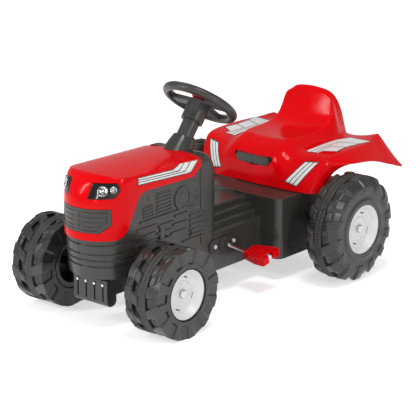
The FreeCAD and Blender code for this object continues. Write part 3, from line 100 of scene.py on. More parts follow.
def moulded(name, colour, roughness, grain_scale=900, grain_depth=0.06 * MM, mottle=0.08, rough_spread=0.06,
            metallic=0.0, shine=0.5):
    """Plastic or metal with faint clouding, uneven gloss and a fine moulded grain."""
    material = bpy.data.materials.new(name)
    material.use_nodes = True
    tree = material.node_tree
    shader = tree.nodes["Principled BSDF"]
    shader.inputs["Metallic"].default_value = metallic
    shader.inputs["Specular IOR Level"].default_value = shine
    place = tree.nodes.new("ShaderNodeTexCoord")

    cloud = noise(tree, place, cloud_scale, cloud_detail)
    tint = tree.nodes.new("ShaderNodeValToRGB")
    dark, light = tint.color_ramp.elements
    dark.position, light.position = noise_low, noise_high
    dark.color = (*[value * (1 - mottle) for value in colour[:3]], 1)
    light.color = (*[min(1, value * (1 + mottle)) for value in colour[:3]], 1)
    tree.links.new(cloud.outputs["Fac"], tint.inputs["Fac"])
    tree.links.new(tint.outputs["Color"], shader.inputs["Base Color"])

    smear = noise(tree, place, smear_scale, smear_detail)
    gloss = tree.nodes.new("ShaderNodeMapRange")
    gloss.inputs["From Min"].default_value = noise_low
    gloss.inputs["From Max"].default_value = noise_high
    gloss.inputs["To Min"].default_value = roughness - rough_spread
    gloss.inputs["To Max"].default_value = roughness + rough_spread
    tree.links.new(smear.outputs["Fac"], gloss.inputs["Value"])
    tree.links.new(gloss.outputs["Result"], shader.inputs["Roughness"])

    grain = noise(tree, place, grain_scale, grain_detail)
    bump = tree.nodes.new("ShaderNodeBump")
    bump.inputs["Strength"].default_value = grain_strength
    bump.inputs["Distance"].default_value = grain_depth
    tree.links.new(grain.outputs["Fac"], bump.inputs["Height"])
    tree.links.new(bump.outputs["Normal"], shader.inputs["Normal"])
    return material


finishes = {
    "red_gloss": dict(colour=srgb(226, 3, 14), roughness=0.15, grain_scale=420, grain_depth=0.02 * MM,
                      mottle=0.02, rough_spread=0.03, shine=0.11),
    "body_charcoal": dict(colour=srgb(56, 54, 50), roughness=0.30),
    "steering_black": dict(colour=srgb(58, 56, 54), roughness=0.38),
    "lamp_black": dict(colour=srgb(18, 18, 19), roughness=0.16, grain_scale=500, grain_depth=0.02 * MM),
    "bearing_black": dict(colour=srgb(46, 45, 43), roughness=0.40),
    "steel_plain": dict(colour=srgb(170, 170, 172), roughness=0.34, grain_scale=1500, grain_depth=0.02 * MM,
                        rough_spread=0.08, metallic=1.0),
    "steel_bright": dict(colour=srgb(215, 215, 218), roughness=0.2, grain_scale=1500, grain_depth=0.02 * MM,
                         mottle=0.05, metallic=1.0),
    "wheel_black": dict(colour=srgb(52, 50, 47), roughness=0.30, grain_scale=800, grain_depth=0.04 * MM,
                        mottle=0.09),
    "tread_rubber": dict(colour=srgb(60, 58, 55), roughness=0.42, grain_scale=1200, mottle=0.10,
                         rough_spread=0.05),
    "hub_silver": dict(colour=srgb(228, 228, 226), roughness=0.40, grain_scale=1600, grain_depth=0.05 * MM,
                       mottle=0.06, metallic=0.12),
    "cap_chrome": dict(colour=srgb(200, 200, 202), roughness=0.12, grain_depth=0.01 * MM, mottle=0.04,
                       rough_spread=0.04, metallic=1.0),
    "screw_blacked": dict(colour=srgb(44, 43, 42), roughness=0.35, grain_scale=1500, grain_depth=0.02 * MM),
    "decal_white": dict(colour=srgb(243, 243, 242), roughness=0.32, grain_scale=700, grain_depth=0.02 * MM,
                        mottle=0.02),
    "decal_line": dict(colour=srgb(58, 50, 50), roughness=0.34, grain_scale=700, grain_depth=0.02 * MM,
                       mottle=0.05),
    "floor_paper": dict(colour=srgb(250, 250, 250), roughness=0.9, grain_scale=300, grain_depth=0.02 * MM,
                        mottle=0.004, rough_spread=0.02),
}
materials = {name: moulded(name, **finish) for name, finish in finishes.items()}


# Mesh helpers

merge_distance = 0.01 * MM
arc_segments = 5


def add_mesh(name, points, faces, material, body):
    """New piece from points and faces that rides on a body."""
    mesh = bpy.data.meshes.new(name)
    mesh.from_pydata([tuple(point) for point in points], [], faces)
    mesh.validate()
    mesh.polygons.foreach_set("use_smooth", [True] * len(mesh.polygons))
    mesh.materials.append(material)
    piece = bpy.data.objects.new(name, mesh)
    bpy.context.scene.collection.objects.link(piece)
    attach(piece, body)
    return piece


def settle_normals(piece):
    """Merges points that coincide and turns all faces of a closed piece outward."""
    work = bmesh.new()
    work.from_mesh(piece.data)
    bmesh.ops.remove_doubles(work, verts=work.verts, dist=merge_distance)
    bmesh.ops.recalc_face_normals(work, faces=work.faces)
    work.to_mesh(piece.data)
    work.free()


def level_shading(piece, weight):
    """Shades the large faces of a piece flat and leaves the turn to its small ones."""
    level = piece.modifiers.new("level", "WEIGHTED_NORMAL")
    level.weight = weight


def surface_of(piece):
    """Finished surface of a piece, to find points on."""
    bpy.context.view_layer.update()
    return BVHTree.FromObject(piece, bpy.context.evaluated_depsgraph_get())


def round_corners(corners, radii):
    """Closed outline whose corners become arcs, as an array of points."""
    corners = np.array(corners, float)
    points = []
    for index, (corner, radius) in enumerate(zip(corners, radii)):
        before = corners[index - 1] - corner
        after = corners[(index + 1) % len(corners)] - corner
        before /= np.linalg.norm(before)
        after /= np.linalg.norm(after)
        if radius == 0:
            points.append(corner)
            continue
        half = math.acos(np.clip(before @ after, -1, 1)) / 2
        reach = radius / math.tan(half)
        middle = (before + after) / np.linalg.norm(before + after)
        centre = corner + middle * radius / math.sin(half)
        start = corner + before * reach - centre
        end = corner + after * reach - centre
        turn = math.pi - half * 2
        for step in range(arc_segments + 1):
            share = step / arc_segments
            way = (start * math.sin((1 - share) * turn) + end * math.sin(share * turn)) / math.sin(turn)
            points.append(centre + way)
    return np.array(points)


def subdivide_outline(points, step):
    """Adds points along the straight stretches of a closed outline."""
    result = []
    for start, end in zip(points, np.roll(points, -1, axis=0)):
        count = max(1, math.ceil(np.linalg.norm(end - start) / step))
        result += [start + (end - start) * index / count for index in range(count)]
    return np.array(result)


def outline_normals(points):
    """Outward normals of a closed outline that runs anticlockwise in radius and offset."""
    along = np.roll(points, -1, axis=0) - np.roll(points, 1, axis=0)
    normals = np.stack([along[:, 1], -along[:, 0]], axis=1)
    return normals / np.maximum(np.linalg.norm(normals, axis=1, keepdims=True), 1e-9)


def smoothstep(low, high, value):
    share = np.clip((value - low) / (high - low), 0, 1)
    return share * share * (3 - 2 * share)


def ring_faces(rows, columns, flip):
    """Quads of a grid that closes both along its outline and round its axis."""
    faces = []
    for i in range(rows):
        below = (i + 1) % rows
        for j in range(columns):
            beside = (j + 1) % columns
            quad = (i * columns + j, below * columns + j, below * columns + beside, i * columns + beside)
            faces.append(quad[::-1] if flip else quad)
    return faces


def tube_faces(rows, columns):
    """Quads of a grid that closes round its axis and is open at its first and last row."""
    faces = []
    for i in range(rows - 1):
        here, below = i * columns, (i + 1) * columns
        for j in range(columns):
            beside = (j + 1) % columns
            faces.append((here + j, here + beside, below + beside, below + j))
    return faces


def turned_points(centre, axis, side, rise, profile, steps):
    """Points of a profile of radius and height, turned about an axis row by row."""
    points = []
    for radius, height in profile:
        for step in range(steps):
            angle = math.tau * step / steps
            way = side * math.cos(angle) + rise * math.sin(angle)
            points.append(centre + axis * height + way * radius)
    return points


# Wheels

front_wheel_r = 93 * MM
front_wheel_w = 88 * MM
front_lug_count = 12
rear_wheel_r = 116 * MM
rear_wheel_w = 84 * MM
rear_lug_count = 14
profile_step = 2.2 * MM

lug_h = 7 * MM
lug_skew = 0.55
lug_run = 15 * MM
lug_fade = 5 * MM
lug_edge = 2.5 * MM
lug_side_share = 0.42
lug_front_share = 0.84
inner_lug_phase = 0.5
# Shares of one lug's pitch: where its front rises, its back falls, its top slopes, and where points lie
lug_rise_shares = (0.06, 0.22)
lug_fall_shares = (0.61, 0.69)
lug_slope_shares = (0.2, 0.6)
lug_point_shares = (0.0, 0.04, 0.08, 0.11, 0.14, 0.17, 0.20, 0.23, 0.27, 0.34, 0.42, 0.50, 0.56, 0.60, 0.62,
                    0.64, 0.66, 0.68, 0.70, 0.73, 0.80, 0.90)

shoulder_w = 15 * MM
shoulder_drop = 16 * MM
shoulder_r = 9 * MM
side_inset = 3 * MM
crown_edge_r = 1.2 * MM
bead_r = 64 * MM
bead_h = 2.2 * MM
bead_w = 7 * MM
bead_edge_r = 3 * MM
bore_r = 6.2 * MM
hub_r = 54 * MM
hub_gap = 0.15 * MM
hub_recess = 20 * MM
recess_edge_r = 0.5 * MM
recess_floor_r = 1 * MM
inner_pocket_r = 42 * MM
front_pocket_depth = 38 * MM
rear_pocket_depth = 20 * MM

ring_half_w = 9 * MM
ring_side_gap = 0.1 * MM
ring_depth = 4 * MM
ring_stand = 9.6 * MM
ring_chamfer = 0.6 * MM
ring_tooth_pitch = 5.4 * MM
ring_tooth_h = 1.8 * MM
# Across the ring as shares of half its width, with 1 where teeth stand
ring_row_shares = (-1, -0.97, -0.9, -0.86, -0.12, -0.08, 0.08, 0.12, 0.86, 0.9, 0.97, 1)
ring_row_teeth = (0, 0, 0, 1, 1, 0, 0, 1, 1, 0, 0, 0)
# Round the ring as shares of one tooth's pitch, with 1 on the tooth
tooth_point_shares = (0.0, 0.16, 0.26, 0.72, 0.84)
tooth_tops = (0, 0, 1, 1, 0)
tooth_stagger = 0.5


def turned_ring(name, radii, offsets, angles, centre, side, slot, replaced):
    """Closed ring about a wheel's axle: one row of the grid for each point of the outline."""
    x = centre.x + radii * np.cos(angles)
    z = centre.z + radii * np.sin(angles)
    y = centre.y + side * offsets
    points = np.stack([x, y, z], axis=-1).reshape(-1, 3)
    piece = add_mesh(name, points, ring_faces(*x.shape, side > 0), materials[slot], body_of[replaced])
    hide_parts(replaced)


def lug_height(share):
    """Height of a lug across one pitch: a slanted front, a top that rises a little and a steep back."""
    rise = smoothstep(*lug_rise_shares, share)
    fall = 1 - smoothstep(*lug_fall_shares, share)
    start, end = lug_slope_shares
    slope = np.clip((share - start) / (end - start), 0, 1)
    return rise * fall * (lug_front_share + (1 - lug_front_share) * slope)


def tyre_half(name, centre, side, radius, width, count, phase, recess_r, recess_depth, replaced):
    """One moulded half of a wheel: carcass, shoulder, lugs and a bead round the hub."""
    face = width / 2
    floor = face - recess_depth
    crown = radius - lug_h
    groove = crown - ring_depth
    wall = face - side_inset
    corners_and_radii = [
        ((bore_r, 0), 0), ((groove, 0), 0), ((groove, ring_half_w), 0), ((crown, ring_half_w), crown_edge_r),
        ((crown, face - shoulder_w), shoulder_r), ((crown - shoulder_drop, wall), shoulder_r),
        ((bead_r + bead_w, wall), bead_edge_r), ((bead_r, wall + bead_h), bead_edge_r),
        ((recess_r, face - side_inset / 2), recess_edge_r), ((recess_r, floor), recess_floor_r),
        ((bore_r, floor), 0),
    ]
    outline = subdivide_outline(round_corners(*zip(*corners_and_radii)), profile_step)
    normals = outline_normals(outline)
    reach, offset = outline[:, 0], outline[:, 1]
    weight = smoothstep(ring_half_w, ring_half_w + lug_edge, offset)
    lug_end = crown - shoulder_drop - lug_run
    weight *= smoothstep(lug_end, lug_end + lug_fade, reach)
    weight = np.where(offset > 0, weight, 0)
    shares = np.array([index + share for index in range(count) for share in lug_point_shares]) / count
    height = np.tile(lug_height(np.array(lug_point_shares)), count)
    shift = lug_skew * np.clip(offset - ring_half_w, 0, None) / radius
    angles = (shares[None, :] + phase / count) * math.tau + shift[:, None]
    lift = weight[:, None] * height[None, :] * lug_h
    radii = np.minimum(reach[:, None] + lift * np.clip(normals[:, :1], 0, 1), radius)
    offsets = np.minimum(offset[:, None] + lift * normals[:, 1:] * lug_side_share, face)
    turned_ring(name, radii, offsets, angles, centre, side, "wheel_black", replaced)


def tread_band(name, centre, radius, replaced):
    """Knurled ring between the halves, with two rows of staggered teeth."""
    groove = radius - lug_h - ring_depth
    outer = groove + ring_stand - ring_tooth_h
    half_w = ring_half_w - ring_side_gap
    offset = np.array([-half_w] + [share * half_w for share in ring_row_shares] + [half_w])
    tooth = np.array([0, *ring_row_teeth, 0])
    rows = [outer - ring_chamfer if abs(share) == 1 else outer for share in ring_row_shares]
    reach = np.array([groove, *rows, groove])
    count = round(math.tau * outer / ring_tooth_pitch)
    shares = np.array([index + share for index in range(count) for share in tooth_point_shares]) / count
    stagger = np.where(offset > 0, tooth_stagger, 0.0) / count
    angles = (shares[None, :] + stagger[:, None]) * math.tau
    radii = reach[:, None] + tooth[:, None] * np.tile(tooth_tops, count)[None, :] * ring_tooth_h
    offsets = np.repeat(offset[:, None], len(shares), axis=1)
    turned_ring(name, radii, offsets, angles, centre, -1, "tread_rubber", replaced)


def dress_wheel(wheel, radius, width, count, pocket_depth):
    low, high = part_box(wheel + "_tread_ring")
    centre = (low + high) / 2
    side = 1 if centre.y > 0 else -1
    tyre_half(wheel + "_outer_tyre", centre, side, radius, width, count, 0, hub_r + hub_gap, hub_recess,
              wheel + "_outer_half")
    tyre_half(wheel + "_inner_tyre", centre, -side, radius, width, count, inner_lug_phase, inner_pocket_r,
              pocket_depth, wheel + "_inner_half")
    tread_band(wheel + "_knurled_band", centre, radius, wheel + "_tread_ring")


for _, side_name in sides:
    dress_wheel("front_wheel_" + side_name, front_wheel_r, front_wheel_w, front_lug_count, front_pocket_depth)
    dress_wheel("rear_wheel_" + side_name, rear_wheel_r, rear_wheel_w, rear_lug_count, rear_pocket_depth)


# Solids get the finish of their slot, apart from two groups of screws, and the large ones get softened edges

soft_edge = 0.7 * MM
soft_edge_segments = 2
soft_level_weight = 80
flat_angle = math.radians(0.4)
sharp_angle = math.radians(32)
softened_nodes = ("body_left_half", "body_right_half", "hood", "grille", "front_weight", "pedal_left",
                  "pedal_right", "crank_bearing_left", "crank_bearing_right", "headlight_left",
                  "headlight_right")


def soften(node, width):
    """Copy of a solid whose sharp edges are rounded off, in place of the solid itself."""
    work = bmesh.new()
    work.from_mesh(nodes[node].data)
    work.transform(nodes[node].matrix_world)
    bmesh.ops.remove_doubles(work, verts=work.verts, dist=merge_distance)
    bmesh.ops.dissolve_limit(work, angle_limit=flat_angle, verts=work.verts, edges=work.edges)
    edges = [edge for edge in work.edges if edge.is_manifold and edge.calc_face_angle() > sharp_angle]
    bmesh.ops.bevel(work, geom=edges, offset=width, segments=soft_edge_segments, profile=0.5, affect="EDGES",
                    clamp_overlap=False)
    bmesh.ops.triangulate(work, faces=[face for face in work.faces if len(face.verts) > 4])
    for face in work.faces:
        face.smooth = True
    for vertex in work.verts:
        vertex.co.x = min(vertex.co.x, cad_high.x)
    mesh = bpy.data.meshes.new(node + "_softened")
    work.to_mesh(mesh)
    work.free()
    mesh.materials.append(materials[slot_of[node]])
    piece = bpy.data.objects.new(node + "_softened", mesh)
    bpy.context.scene.collection.objects.link(piece)
    level_shading(piece, soft_level_weight)
    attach(piece, body_of[node])
    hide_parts(node)
    return piece


finish_of = {**slot_of, "bearing_screws": "hub_silver", "body_screws": "screw_blacked"}
for node, finish in finish_of.items():
    node_materials = nodes[node].data.materials
    node_materials.clear()
    node_materials.append(materials[finish])

softened = {node: soften(node, soft_edge) for node in softened_nodes}


# Steering wheel with a fuller rim, and the horn's crowned pad

rim_share = 0.8
rim_growth = 1.6 * MM
rim_soft_edge = 0.5 * MM
# Radius and height over the horn button's top, in millimetres
pad_profile = [(0, 5.2), (10, 5.0), (17, 4.2), (20.6, 3.0), (22, 1.9), (21.4, 1.4), (19, 1.4), (19, -1.2),
               (0, -1.2)]
pad_steps = 64

steer_place = Vector(joints["steer"]["pos_m"])
steer_axis = Vector(joints["steer"]["axis"]).normalized()


def from_axis(point):
    """Height along the steering axis and distance from it."""
    height = (point - steer_place).dot(steer_axis)
    return height, (point - steer_place - steer_axis * height).length


def fuller_rim():
    piece = soften("steering_wheel", rim_soft_edge)
    vertices = piece.data.vertices
    normals = [vertex.normal.copy() for vertex in vertices]
    distances = [from_axis(vertex.co)[1] for vertex in vertices]
    rim_start = max(distances) * rim_share
    for vertex, normal, distance in zip(vertices, normals, distances):
        if distance > rim_start:
            grown = vertex.co + normal * rim_growth
            vertex.co = (grown.x, grown.y, min(grown.z, cad_high.z))


def horn_pad():
    button = nodes["horn_button"]
    top = max(from_axis(button.matrix_world @ vertex.co)[0] for vertex in button.data.vertices)
    side = Vector((0, 1, 0))
    profile = [(radius * MM, top + height * MM) for radius, height in pad_profile]
    points = turned_points(steer_place, steer_axis, side, steer_axis.cross(side), profile, pad_steps)
    faces = tube_faces(len(profile), pad_steps)
    piece = add_mesh("horn_pad", points, faces, materials[slot_of["horn_button"]], body_of["horn_button"])
    settle_normals(piece)
    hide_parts("horn_button")


fuller_rim()
horn_pad()


# Rounded ribs across the pedals

pedal_tilt = math.radians(13)
pedal_t = 15 * MM
rib_count = 6
rib_pitch = 8.67 * MM
rib_half_w = 2.7 * MM
rib_h = 1.7 * MM
rib_reach = 17.3 * MM
rib_growth = 0.9 * MM
rib_end_share = 0.3
rib_sink = 0.3 * MM
rib_steps = 6


def pedal_ribs(side, side_name):
    """Half-round bars on a pedal's top, longer towards its outer end."""
    node = "pedal_" + side_name
    pin = Vector(joints[node + "_spin"]["pos_m"])
    low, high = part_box(node)
    start = low.y if side > 0 else high.y
    turn = Matrix.Rotation(pedal_tilt, 3, "Y")
    columns = rib_steps + 1
    for index in range(rib_count):
        middle = start + side * rib_pitch * (index + 0.5)
        reach = rib_reach + rib_growth * index
        rows = ((-reach, rib_end_share), (-reach + rib_h, 1), (reach - rib_h, 1), (reach, rib_end_share))
        points = []
        for x, share in rows:
            for step in range(columns):
                angle = math.pi * step / rib_steps
                height = pedal_t / 2 - rib_sink + math.sin(angle) * rib_h * share
                across = Vector((pin.x, middle + math.cos(angle) * rib_half_w, pin.z))
                points.append(across + turn @ Vector((x, 0, height)))
        count = len(points)
        faces = tube_faces(len(rows), columns)
        faces += [tuple(range(columns)), tuple(range(count - columns, count))[::-1]]
        piece = add_mesh("%s_rib_%d" % (node, index), points, faces, materials["red_gloss"], body_of[node])
        settle_normals(piece)


for side, side_name in sides:
    pedal_ribs(side, side_name)


# Seat and fenders as one smooth moulding

seat_wall = 3 * MM
seat_smoothing = 3
seat_edge = 0.8 * MM
seat_edge_segments = 2
seat_edge_angle = math.radians(50)
seat_level_weight = 60
# Where the point between the middle and the crease lies, as shares along, across and up
seat_swell_shares = np.array((0.45, 0.58, 0.35))
# Edges across: row, columns and how sharp the edge is
seat_cross_creases = [(4, range(6, 10), 0.65), (14, range(5, 11), 0.75)]
# Edges along: column counted from the hem, rows and how sharp the edge is
seat_long_creases = [(2, range(4), 0.85), (2, range(4, 17), 0.92), (5, range(4, 15), 0.75),
                     (6, range(4, 8), 0.92), (6, range(8, 10), 0.5)]
# Outline of the carrying slot seen from ahead (across, up), in millimetres, and its corners' radii
grip_outline = [(-52, 252), (-52, 243), (-37, 233), (0, 227.5), (37, 233), (52, 243), (52, 252), (0, 249)]
grip_radii = [5, 6, 40, 90, 40, 6, 5, 150]
grip_cut_reach = 12 * MM
grip_liner_share = 1.12
grip_liner_depth = 13 * MM

# Rows in millimetres from the front hem over the pan, up and over the back and down to the tail:
# the middle (along, up), then (along, across, up) of the crease, its foot, the deck, fold, flange and hem
seat_rows = [
    ((-141, 188), (-141, 66, 188), (-141, 80, 188), (-142, 96, 188),
     (-152, 150, 188), (-158, 158, 188), (-164, 163, 189)),
    ((-141, 215), (-141, 66, 215), (-142, 80, 214), (-146, 96, 213),
     (-162, 157, 214), (-168, 165, 212), (-176, 167, 197)),
    ((-144, 247), (-144, 65, 247), (-148, 80, 241), (-156, 96, 238),
     (-174, 163, 239), (-180, 170, 230), (-190, 170, 209)),
    ((-157, 269), (-158, 64, 269), (-164, 80, 257), (-172, 97, 254),
     (-186, 167, 255), (-192, 175, 243), (-204, 172, 229)),
    ((-186, 282), (-188, 64, 285), (-189, 82, 266), (-194, 99, 263),
     (-203, 169, 264), (-207, 182, 250), (-220, 190, 243)),
    ((-240, 280), (-240, 66, 285), (-240, 85, 266), (-240, 100, 265),
     (-242, 169, 266), (-242, 199, 251), (-245, 205, 248)),
    ((-286, 280), (-290, 69, 285), (-288, 86, 266), (-286, 98, 266),
     (-285, 171, 266), (-285, 203, 247), (-285, 207, 244)),
    ((-312, 289), (-322, 71, 296), (-324, 86, 266), (-322, 97, 265),
     (-310, 171, 265), (-310, 202, 244), (-310, 208, 239)),
    ((-328, 318), (-336, 71, 318), (-342, 83, 266), (-340, 95, 265),
     (-330, 169, 265), (-330, 200, 241), (-330, 209, 233)),
    ((-338, 348), (-341, 68, 340), (-352, 80, 266), (-351, 93, 264),
     (-346, 166, 265), (-346, 198, 239), (-346, 209, 227)),
    ((-346, 367.5), (-346, 60, 357), (-360, 77, 266), (-360, 91, 263),
     (-356, 163, 265), (-356, 196, 238), (-356, 210, 223)),
    ((-360, 367.5), (-363, 60, 357), (-370, 73, 266), (-370, 89, 262),
     (-366, 160, 266), (-366, 195, 237), (-366, 210, 220)),
    ((-372, 345), (-376, 66, 338), (-380, 69, 265), (-380, 87, 261),
     (-376, 156, 267), (-376, 194, 236), (-376, 210, 217)),
    ((-382, 304), (-386, 65, 302), (-390, 67, 263), (-390, 86, 259),
     (-388, 153, 269), (-388, 192, 234), (-388, 210, 212)),
    ((-391, 258), (-393, 64, 258), (-397, 68, 254), (-398, 86, 254),
     (-398, 149, 270), (-398, 189, 231), (-398, 211, 209)),
    ((-404, 250), (-405, 66, 250), (-406, 78, 250), (-407, 96, 252),
     (-408, 146, 271), (-408, 185, 229), (-408, 211, 206)),
    ((-411.5, 234), (-411.5, 66, 234), (-411.5, 80, 234), (-411.5, 98, 235),
     (-411.5, 146, 251), (-411.5, 181, 226), (-411.5, 211, 205)),
]


def seat_cage():
    """Rows of the cage's points, each from the right hem over the middle to the left hem."""
    rows = []
    for (x, z), *rest in seat_rows:
        middle = np.array((x, 0.0, z))
        crease, foot, deck, fold, flange, hem = [np.array(point, float) for point in rest]
        swell = middle + (crease - middle) * seat_swell_shares
        half = [middle, swell, crease, foot, deck, (deck + fold) / 2, fold, flange, hem]
        rows.append([point * (1, -1, 1) for point in half[:0:-1]] + half)
    return np.array(rows) * MM


def seat_crease(row, columns, first, second):
    """Sharpness of the cage edge that starts in a row and joins two columns."""
    if first == second:
        line, place, creases = min(first, columns - 1 - first), row, seat_long_creases
    else:
        line, place, creases = row, min(first, second), seat_cross_creases
    return next((sharp for crease_line, span, sharp in creases if crease_line == line and place in span), 0)


def cut_away(piece, cutter):
    """Takes one closed piece out of another, for good."""
    cut = piece.modifiers.new("cut", "BOOLEAN")
    cut.operation = "DIFFERENCE"
    cut.solver = "EXACT"
    cut.object = cutter
    bpy.context.view_layer.update()
    held = piece.evaluated_get(bpy.context.evaluated_depsgraph_get())
    mesh = bpy.data.meshes.new_from_object(held)
    piece.modifiers.clear()
    piece.data = mesh
    bpy.data.objects.remove(cutter)


def prism(name, outline, start, reach):
    """Closed bar that runs forward from an outline of points (across, up)."""
    count = len(outline)
    points = [Vector((x, y, z)) for x in (start, start + reach) for y, z in outline]
    faces = [tuple(range(count))[::-1], tuple(range(count, count * 2))]
    faces += [(i, (i + 1) % count, count + (i + 1) % count, count + i) for i in range(count)]
    mesh = bpy.data.meshes.new(name)
    mesh.from_pydata(points, [], faces)
    piece = bpy.data.objects.new(name, mesh)
    bpy.context.scene.collection.objects.link(piece)
    return piece


def carrying_slot(piece):
    """Cuts the slot through the seat's front wall and sets a dark liner behind it."""
    outline = round_corners(grip_outline, grip_radii) * MM
    front = seat_rows[0][0][0] * MM
    cut_away(piece, prism("grip_cutter", outline, front - grip_cut_reach, grip_cut_reach * 2))
    piece.data.polygons.foreach_set("use_smooth", [True] * len(piece.data.polygons))
    liner = prism("grip_liner", outline * (grip_liner_share, 1), front - grip_liner_depth, seat_wall)
    liner.data.materials.append(materials["body_charcoal"])
    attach(liner, body_of["seat"])


def seat():
    cage = seat_cage()
    rows, columns = cage.shape[:2]
    faces = [(i * columns + j, i * columns + j + 1, (i + 1) * columns + j + 1, (i + 1) * columns + j)
             for i in range(rows - 1) for j in range(columns - 1)]
    piece = add_mesh("seat_moulding", cage.reshape(-1, 3), faces, materials["red_gloss"], body_of["seat"])
    marks = piece.data.attributes.new("crease_edge", "FLOAT", "EDGE")
    for edge in piece.data.edges:
        first, second = [vertex % columns for vertex in edge.vertices]
        row = min(edge.vertices) // columns
        marks.data[edge.index].value = seat_crease(row, columns, first, second)
    smooth = piece.modifiers.new("smooth", "SUBSURF")
    smooth.levels = smooth.render_levels = seat_smoothing
    thick = piece.modifiers.new("thick", "SOLIDIFY")
    thick.thickness = seat_wall
    thick.offset = -1
    carrying_slot(piece)
    edge = piece.modifiers.new("edge", "BEVEL")
    edge.width = seat_edge
    edge.segments = seat_edge_segments
    edge.limit_method = "ANGLE"
    edge.angle_limit = seat_edge_angle
    level_shading(piece, seat_level_weight)
    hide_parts("seat")
    return piece


seat_piece = seat()


# Decals, thin slabs that lie on the surface under them

decal_lift = 0.16 * MM
decal_t = 0.12 * MM
decal_step = 4 * MM
line_lift = 0.42 * MM
# In millimetres, as the decals' outlines are
line_w = 1.7
# Where the rays that find the surface start, in metres from the middle and from the floor
drop_from_side = 0.2
drop_from_above = 0.5

# Edges of the hood's stripes seen from the side (along, up), in millimetres:
# between them lie three thin bands that end in slanted blocks
hood_edge_paths = [
    [(312, 313.4), (208, 308), (186.8, 314.6)],
    [(312.7, 308.9), (188.8, 301.6), (172, 314.2)],
    [(313.2, 304.3), (171.5, 296.2), (151, 313.7)],
    [(313, 299), (152.5, 290), (127, 313.2)],
]
hood_quads = [[first[i], first[i + 1], second[i + 1], second[i]]
              for first, second in zip(hood_edge_paths, hood_edge_paths[1:]) for i in range(len(first) - 1)]
hood_lines = hood_edge_paths + [[hood_edge_paths[0][0], hood_edge_paths[-1][0]]]

# Stripes on the fender's deck seen from above (along, across), in millimetres
deck_lines = [
    [(-203, 100), (-312, 98), (-354, 109), (-354, 164), (-322.7, 158), (-275.3, 152.4), (-238, 158),
     (-224, 131), (-206, 129), (-203, 100)],
    [(-207, 112), (-304, 115.6), (-322.7, 158)],
    [(-209, 123.7), (-261.7, 121.3), (-275.3, 152.4)],
]
deck_quads = [
    [(-203, 100), (-312, 98), (-304, 115.6), (-207, 112)],
    [(-312, 98), (-354, 109), (-354, 130), (-304, 115.6)],
    [(-304, 115.6), (-354, 130), (-354, 164), (-322.7, 158)],
    [(-207, 112), (-304, 115.6), (-261.7, 121.3), (-209, 123.7)],
    [(-304, 115.6), (-322.7, 158), (-275.3, 152.4), (-261.7, 121.3)],
    [(-209, 123.7), (-261.7, 121.3), (-224, 131), (-206, 129)],
    [(-261.7, 121.3), (-275.3, 152.4), (-238, 158), (-224, 131)],
]

# Bars on the fender's front seen from ahead (across, up), in millimetres
front_quad = [(122, 250), (152, 252), (117, 199), (89, 206)]
front_bar_count = 3


def laid_slab(name, quad, place, surface, way, lift, material, body):
    """Closed slab over a flat quad that is dropped on a surface along one way."""
    corners = [np.array(corner, float) * MM for corner in quad]
    long = max(np.linalg.norm(corners[1] - corners[0]), np.linalg.norm(corners[2] - corners[3]))
    wide = max(np.linalg.norm(corners[3] - corners[0]), np.linalg.norm(corners[2] - corners[1]))
    rows = max(1, math.ceil(long / decal_step))
    columns = max(1, math.ceil(wide / decal_step))
    top = []
    for i in range(rows + 1):
        s = i / rows
        near = corners[0] * (1 - s) + corners[1] * s
        far = corners[3] * (1 - s) + corners[2] * s
        for j in range(columns + 1):
            t = j / columns
            hit, normal, _, _ = surface.ray_cast(place(*(near * (1 - t) + far * t)), way)
            top.append(hit + normal * lift)
    low = [point + Vector(way) * decal_t for point in top]
    count = len(top)
    stride = columns + 1
    faces = []
    for i in range(rows):
        for j in range(columns):
            corner = i * stride + j
            face = (corner, corner + 1, corner + stride + 1, corner + stride)
            faces += [face, tuple(count + index for index in face[::-1])]
    rim = list(range(stride)) + [i * stride + columns for i in range(1, rows + 1)]
    rim += [rows * stride + j for j in range(columns - 1, -1, -1)]
    rim += [i * stride for i in range(rows - 1, 0, -1)]
    for first, second in zip(rim, rim[1:] + rim[:1]):
        faces.append((second, first, count + first, count + second))
    settle_normals(add_mesh(name, top + low, faces, material, body))


def line_quads(path):
    """A thin quad for each stretch of a path, half its width longer at both ends."""
    quads = []
    for start, end in zip(np.array(path[:-1], float), np.array(path[1:], float)):
        reach = (end - start) / np.linalg.norm(end - start) * line_w / 2
        side = np.array((-reach[1], reach[0]))
        quads.append((start - reach + side, end + reach + side, end + reach - side, start - reach - side))
    return quads


def lay_decal(name, quads, lines, place, surface, way, body):
    """White quads with dark lines on them, dropped on a surface."""
    for index, quad in enumerate(quads):
        laid_slab("%s_white_%d" % (name, index), quad, place, surface, way, decal_lift,
                  materials["decal_white"], body)
    for index, path in enumerate(lines):
        for stretch, quad in enumerate(line_quads(path)):
            laid_slab("%s_line_%d_%d" % (name, index, stretch), quad, place, surface, way, line_lift,
                      materials["decal_line"], body)


def between(first, second, share):
    return tuple(a + (b - a) * share for a, b in zip(first, second))


def front_bar_lines():
    """Lines between the bars, then their common edge."""
    top_left, top_right, low_right, low_left = front_quad
    shares = [index / front_bar_count for index in range(1, front_bar_count)]
    lines = [[between(top_left, top_right, share), between(low_left, low_right, share)] for share in shares]
    return lines + [[*front_quad, top_left]]


def side_decals(side, side_name, hood_surface, seat_surface):
    """Stripes of one side, on the hood and on the fender's deck and front."""
    def beside(x, z):
        return Vector((x, side * drop_from_side, z))

    def above(x, y):
        return Vector((x, side * y, drop_from_above))

    def ahead(y, z):
        return Vector((0, side * y, z))

    lay_decal("hood_decal_" + side_name, hood_quads, hood_lines, beside, hood_surface, (0, -side, 0),
              body_of["hood"])
    lay_decal("deck_decal_" + side_name, deck_quads, deck_lines, above, seat_surface, (0, 0, -1),
              body_of["seat"])
    lay_decal("front_decal_" + side_name, [front_quad], front_bar_lines(), ahead, seat_surface, (-1, 0, 0),
              body_of["seat"])


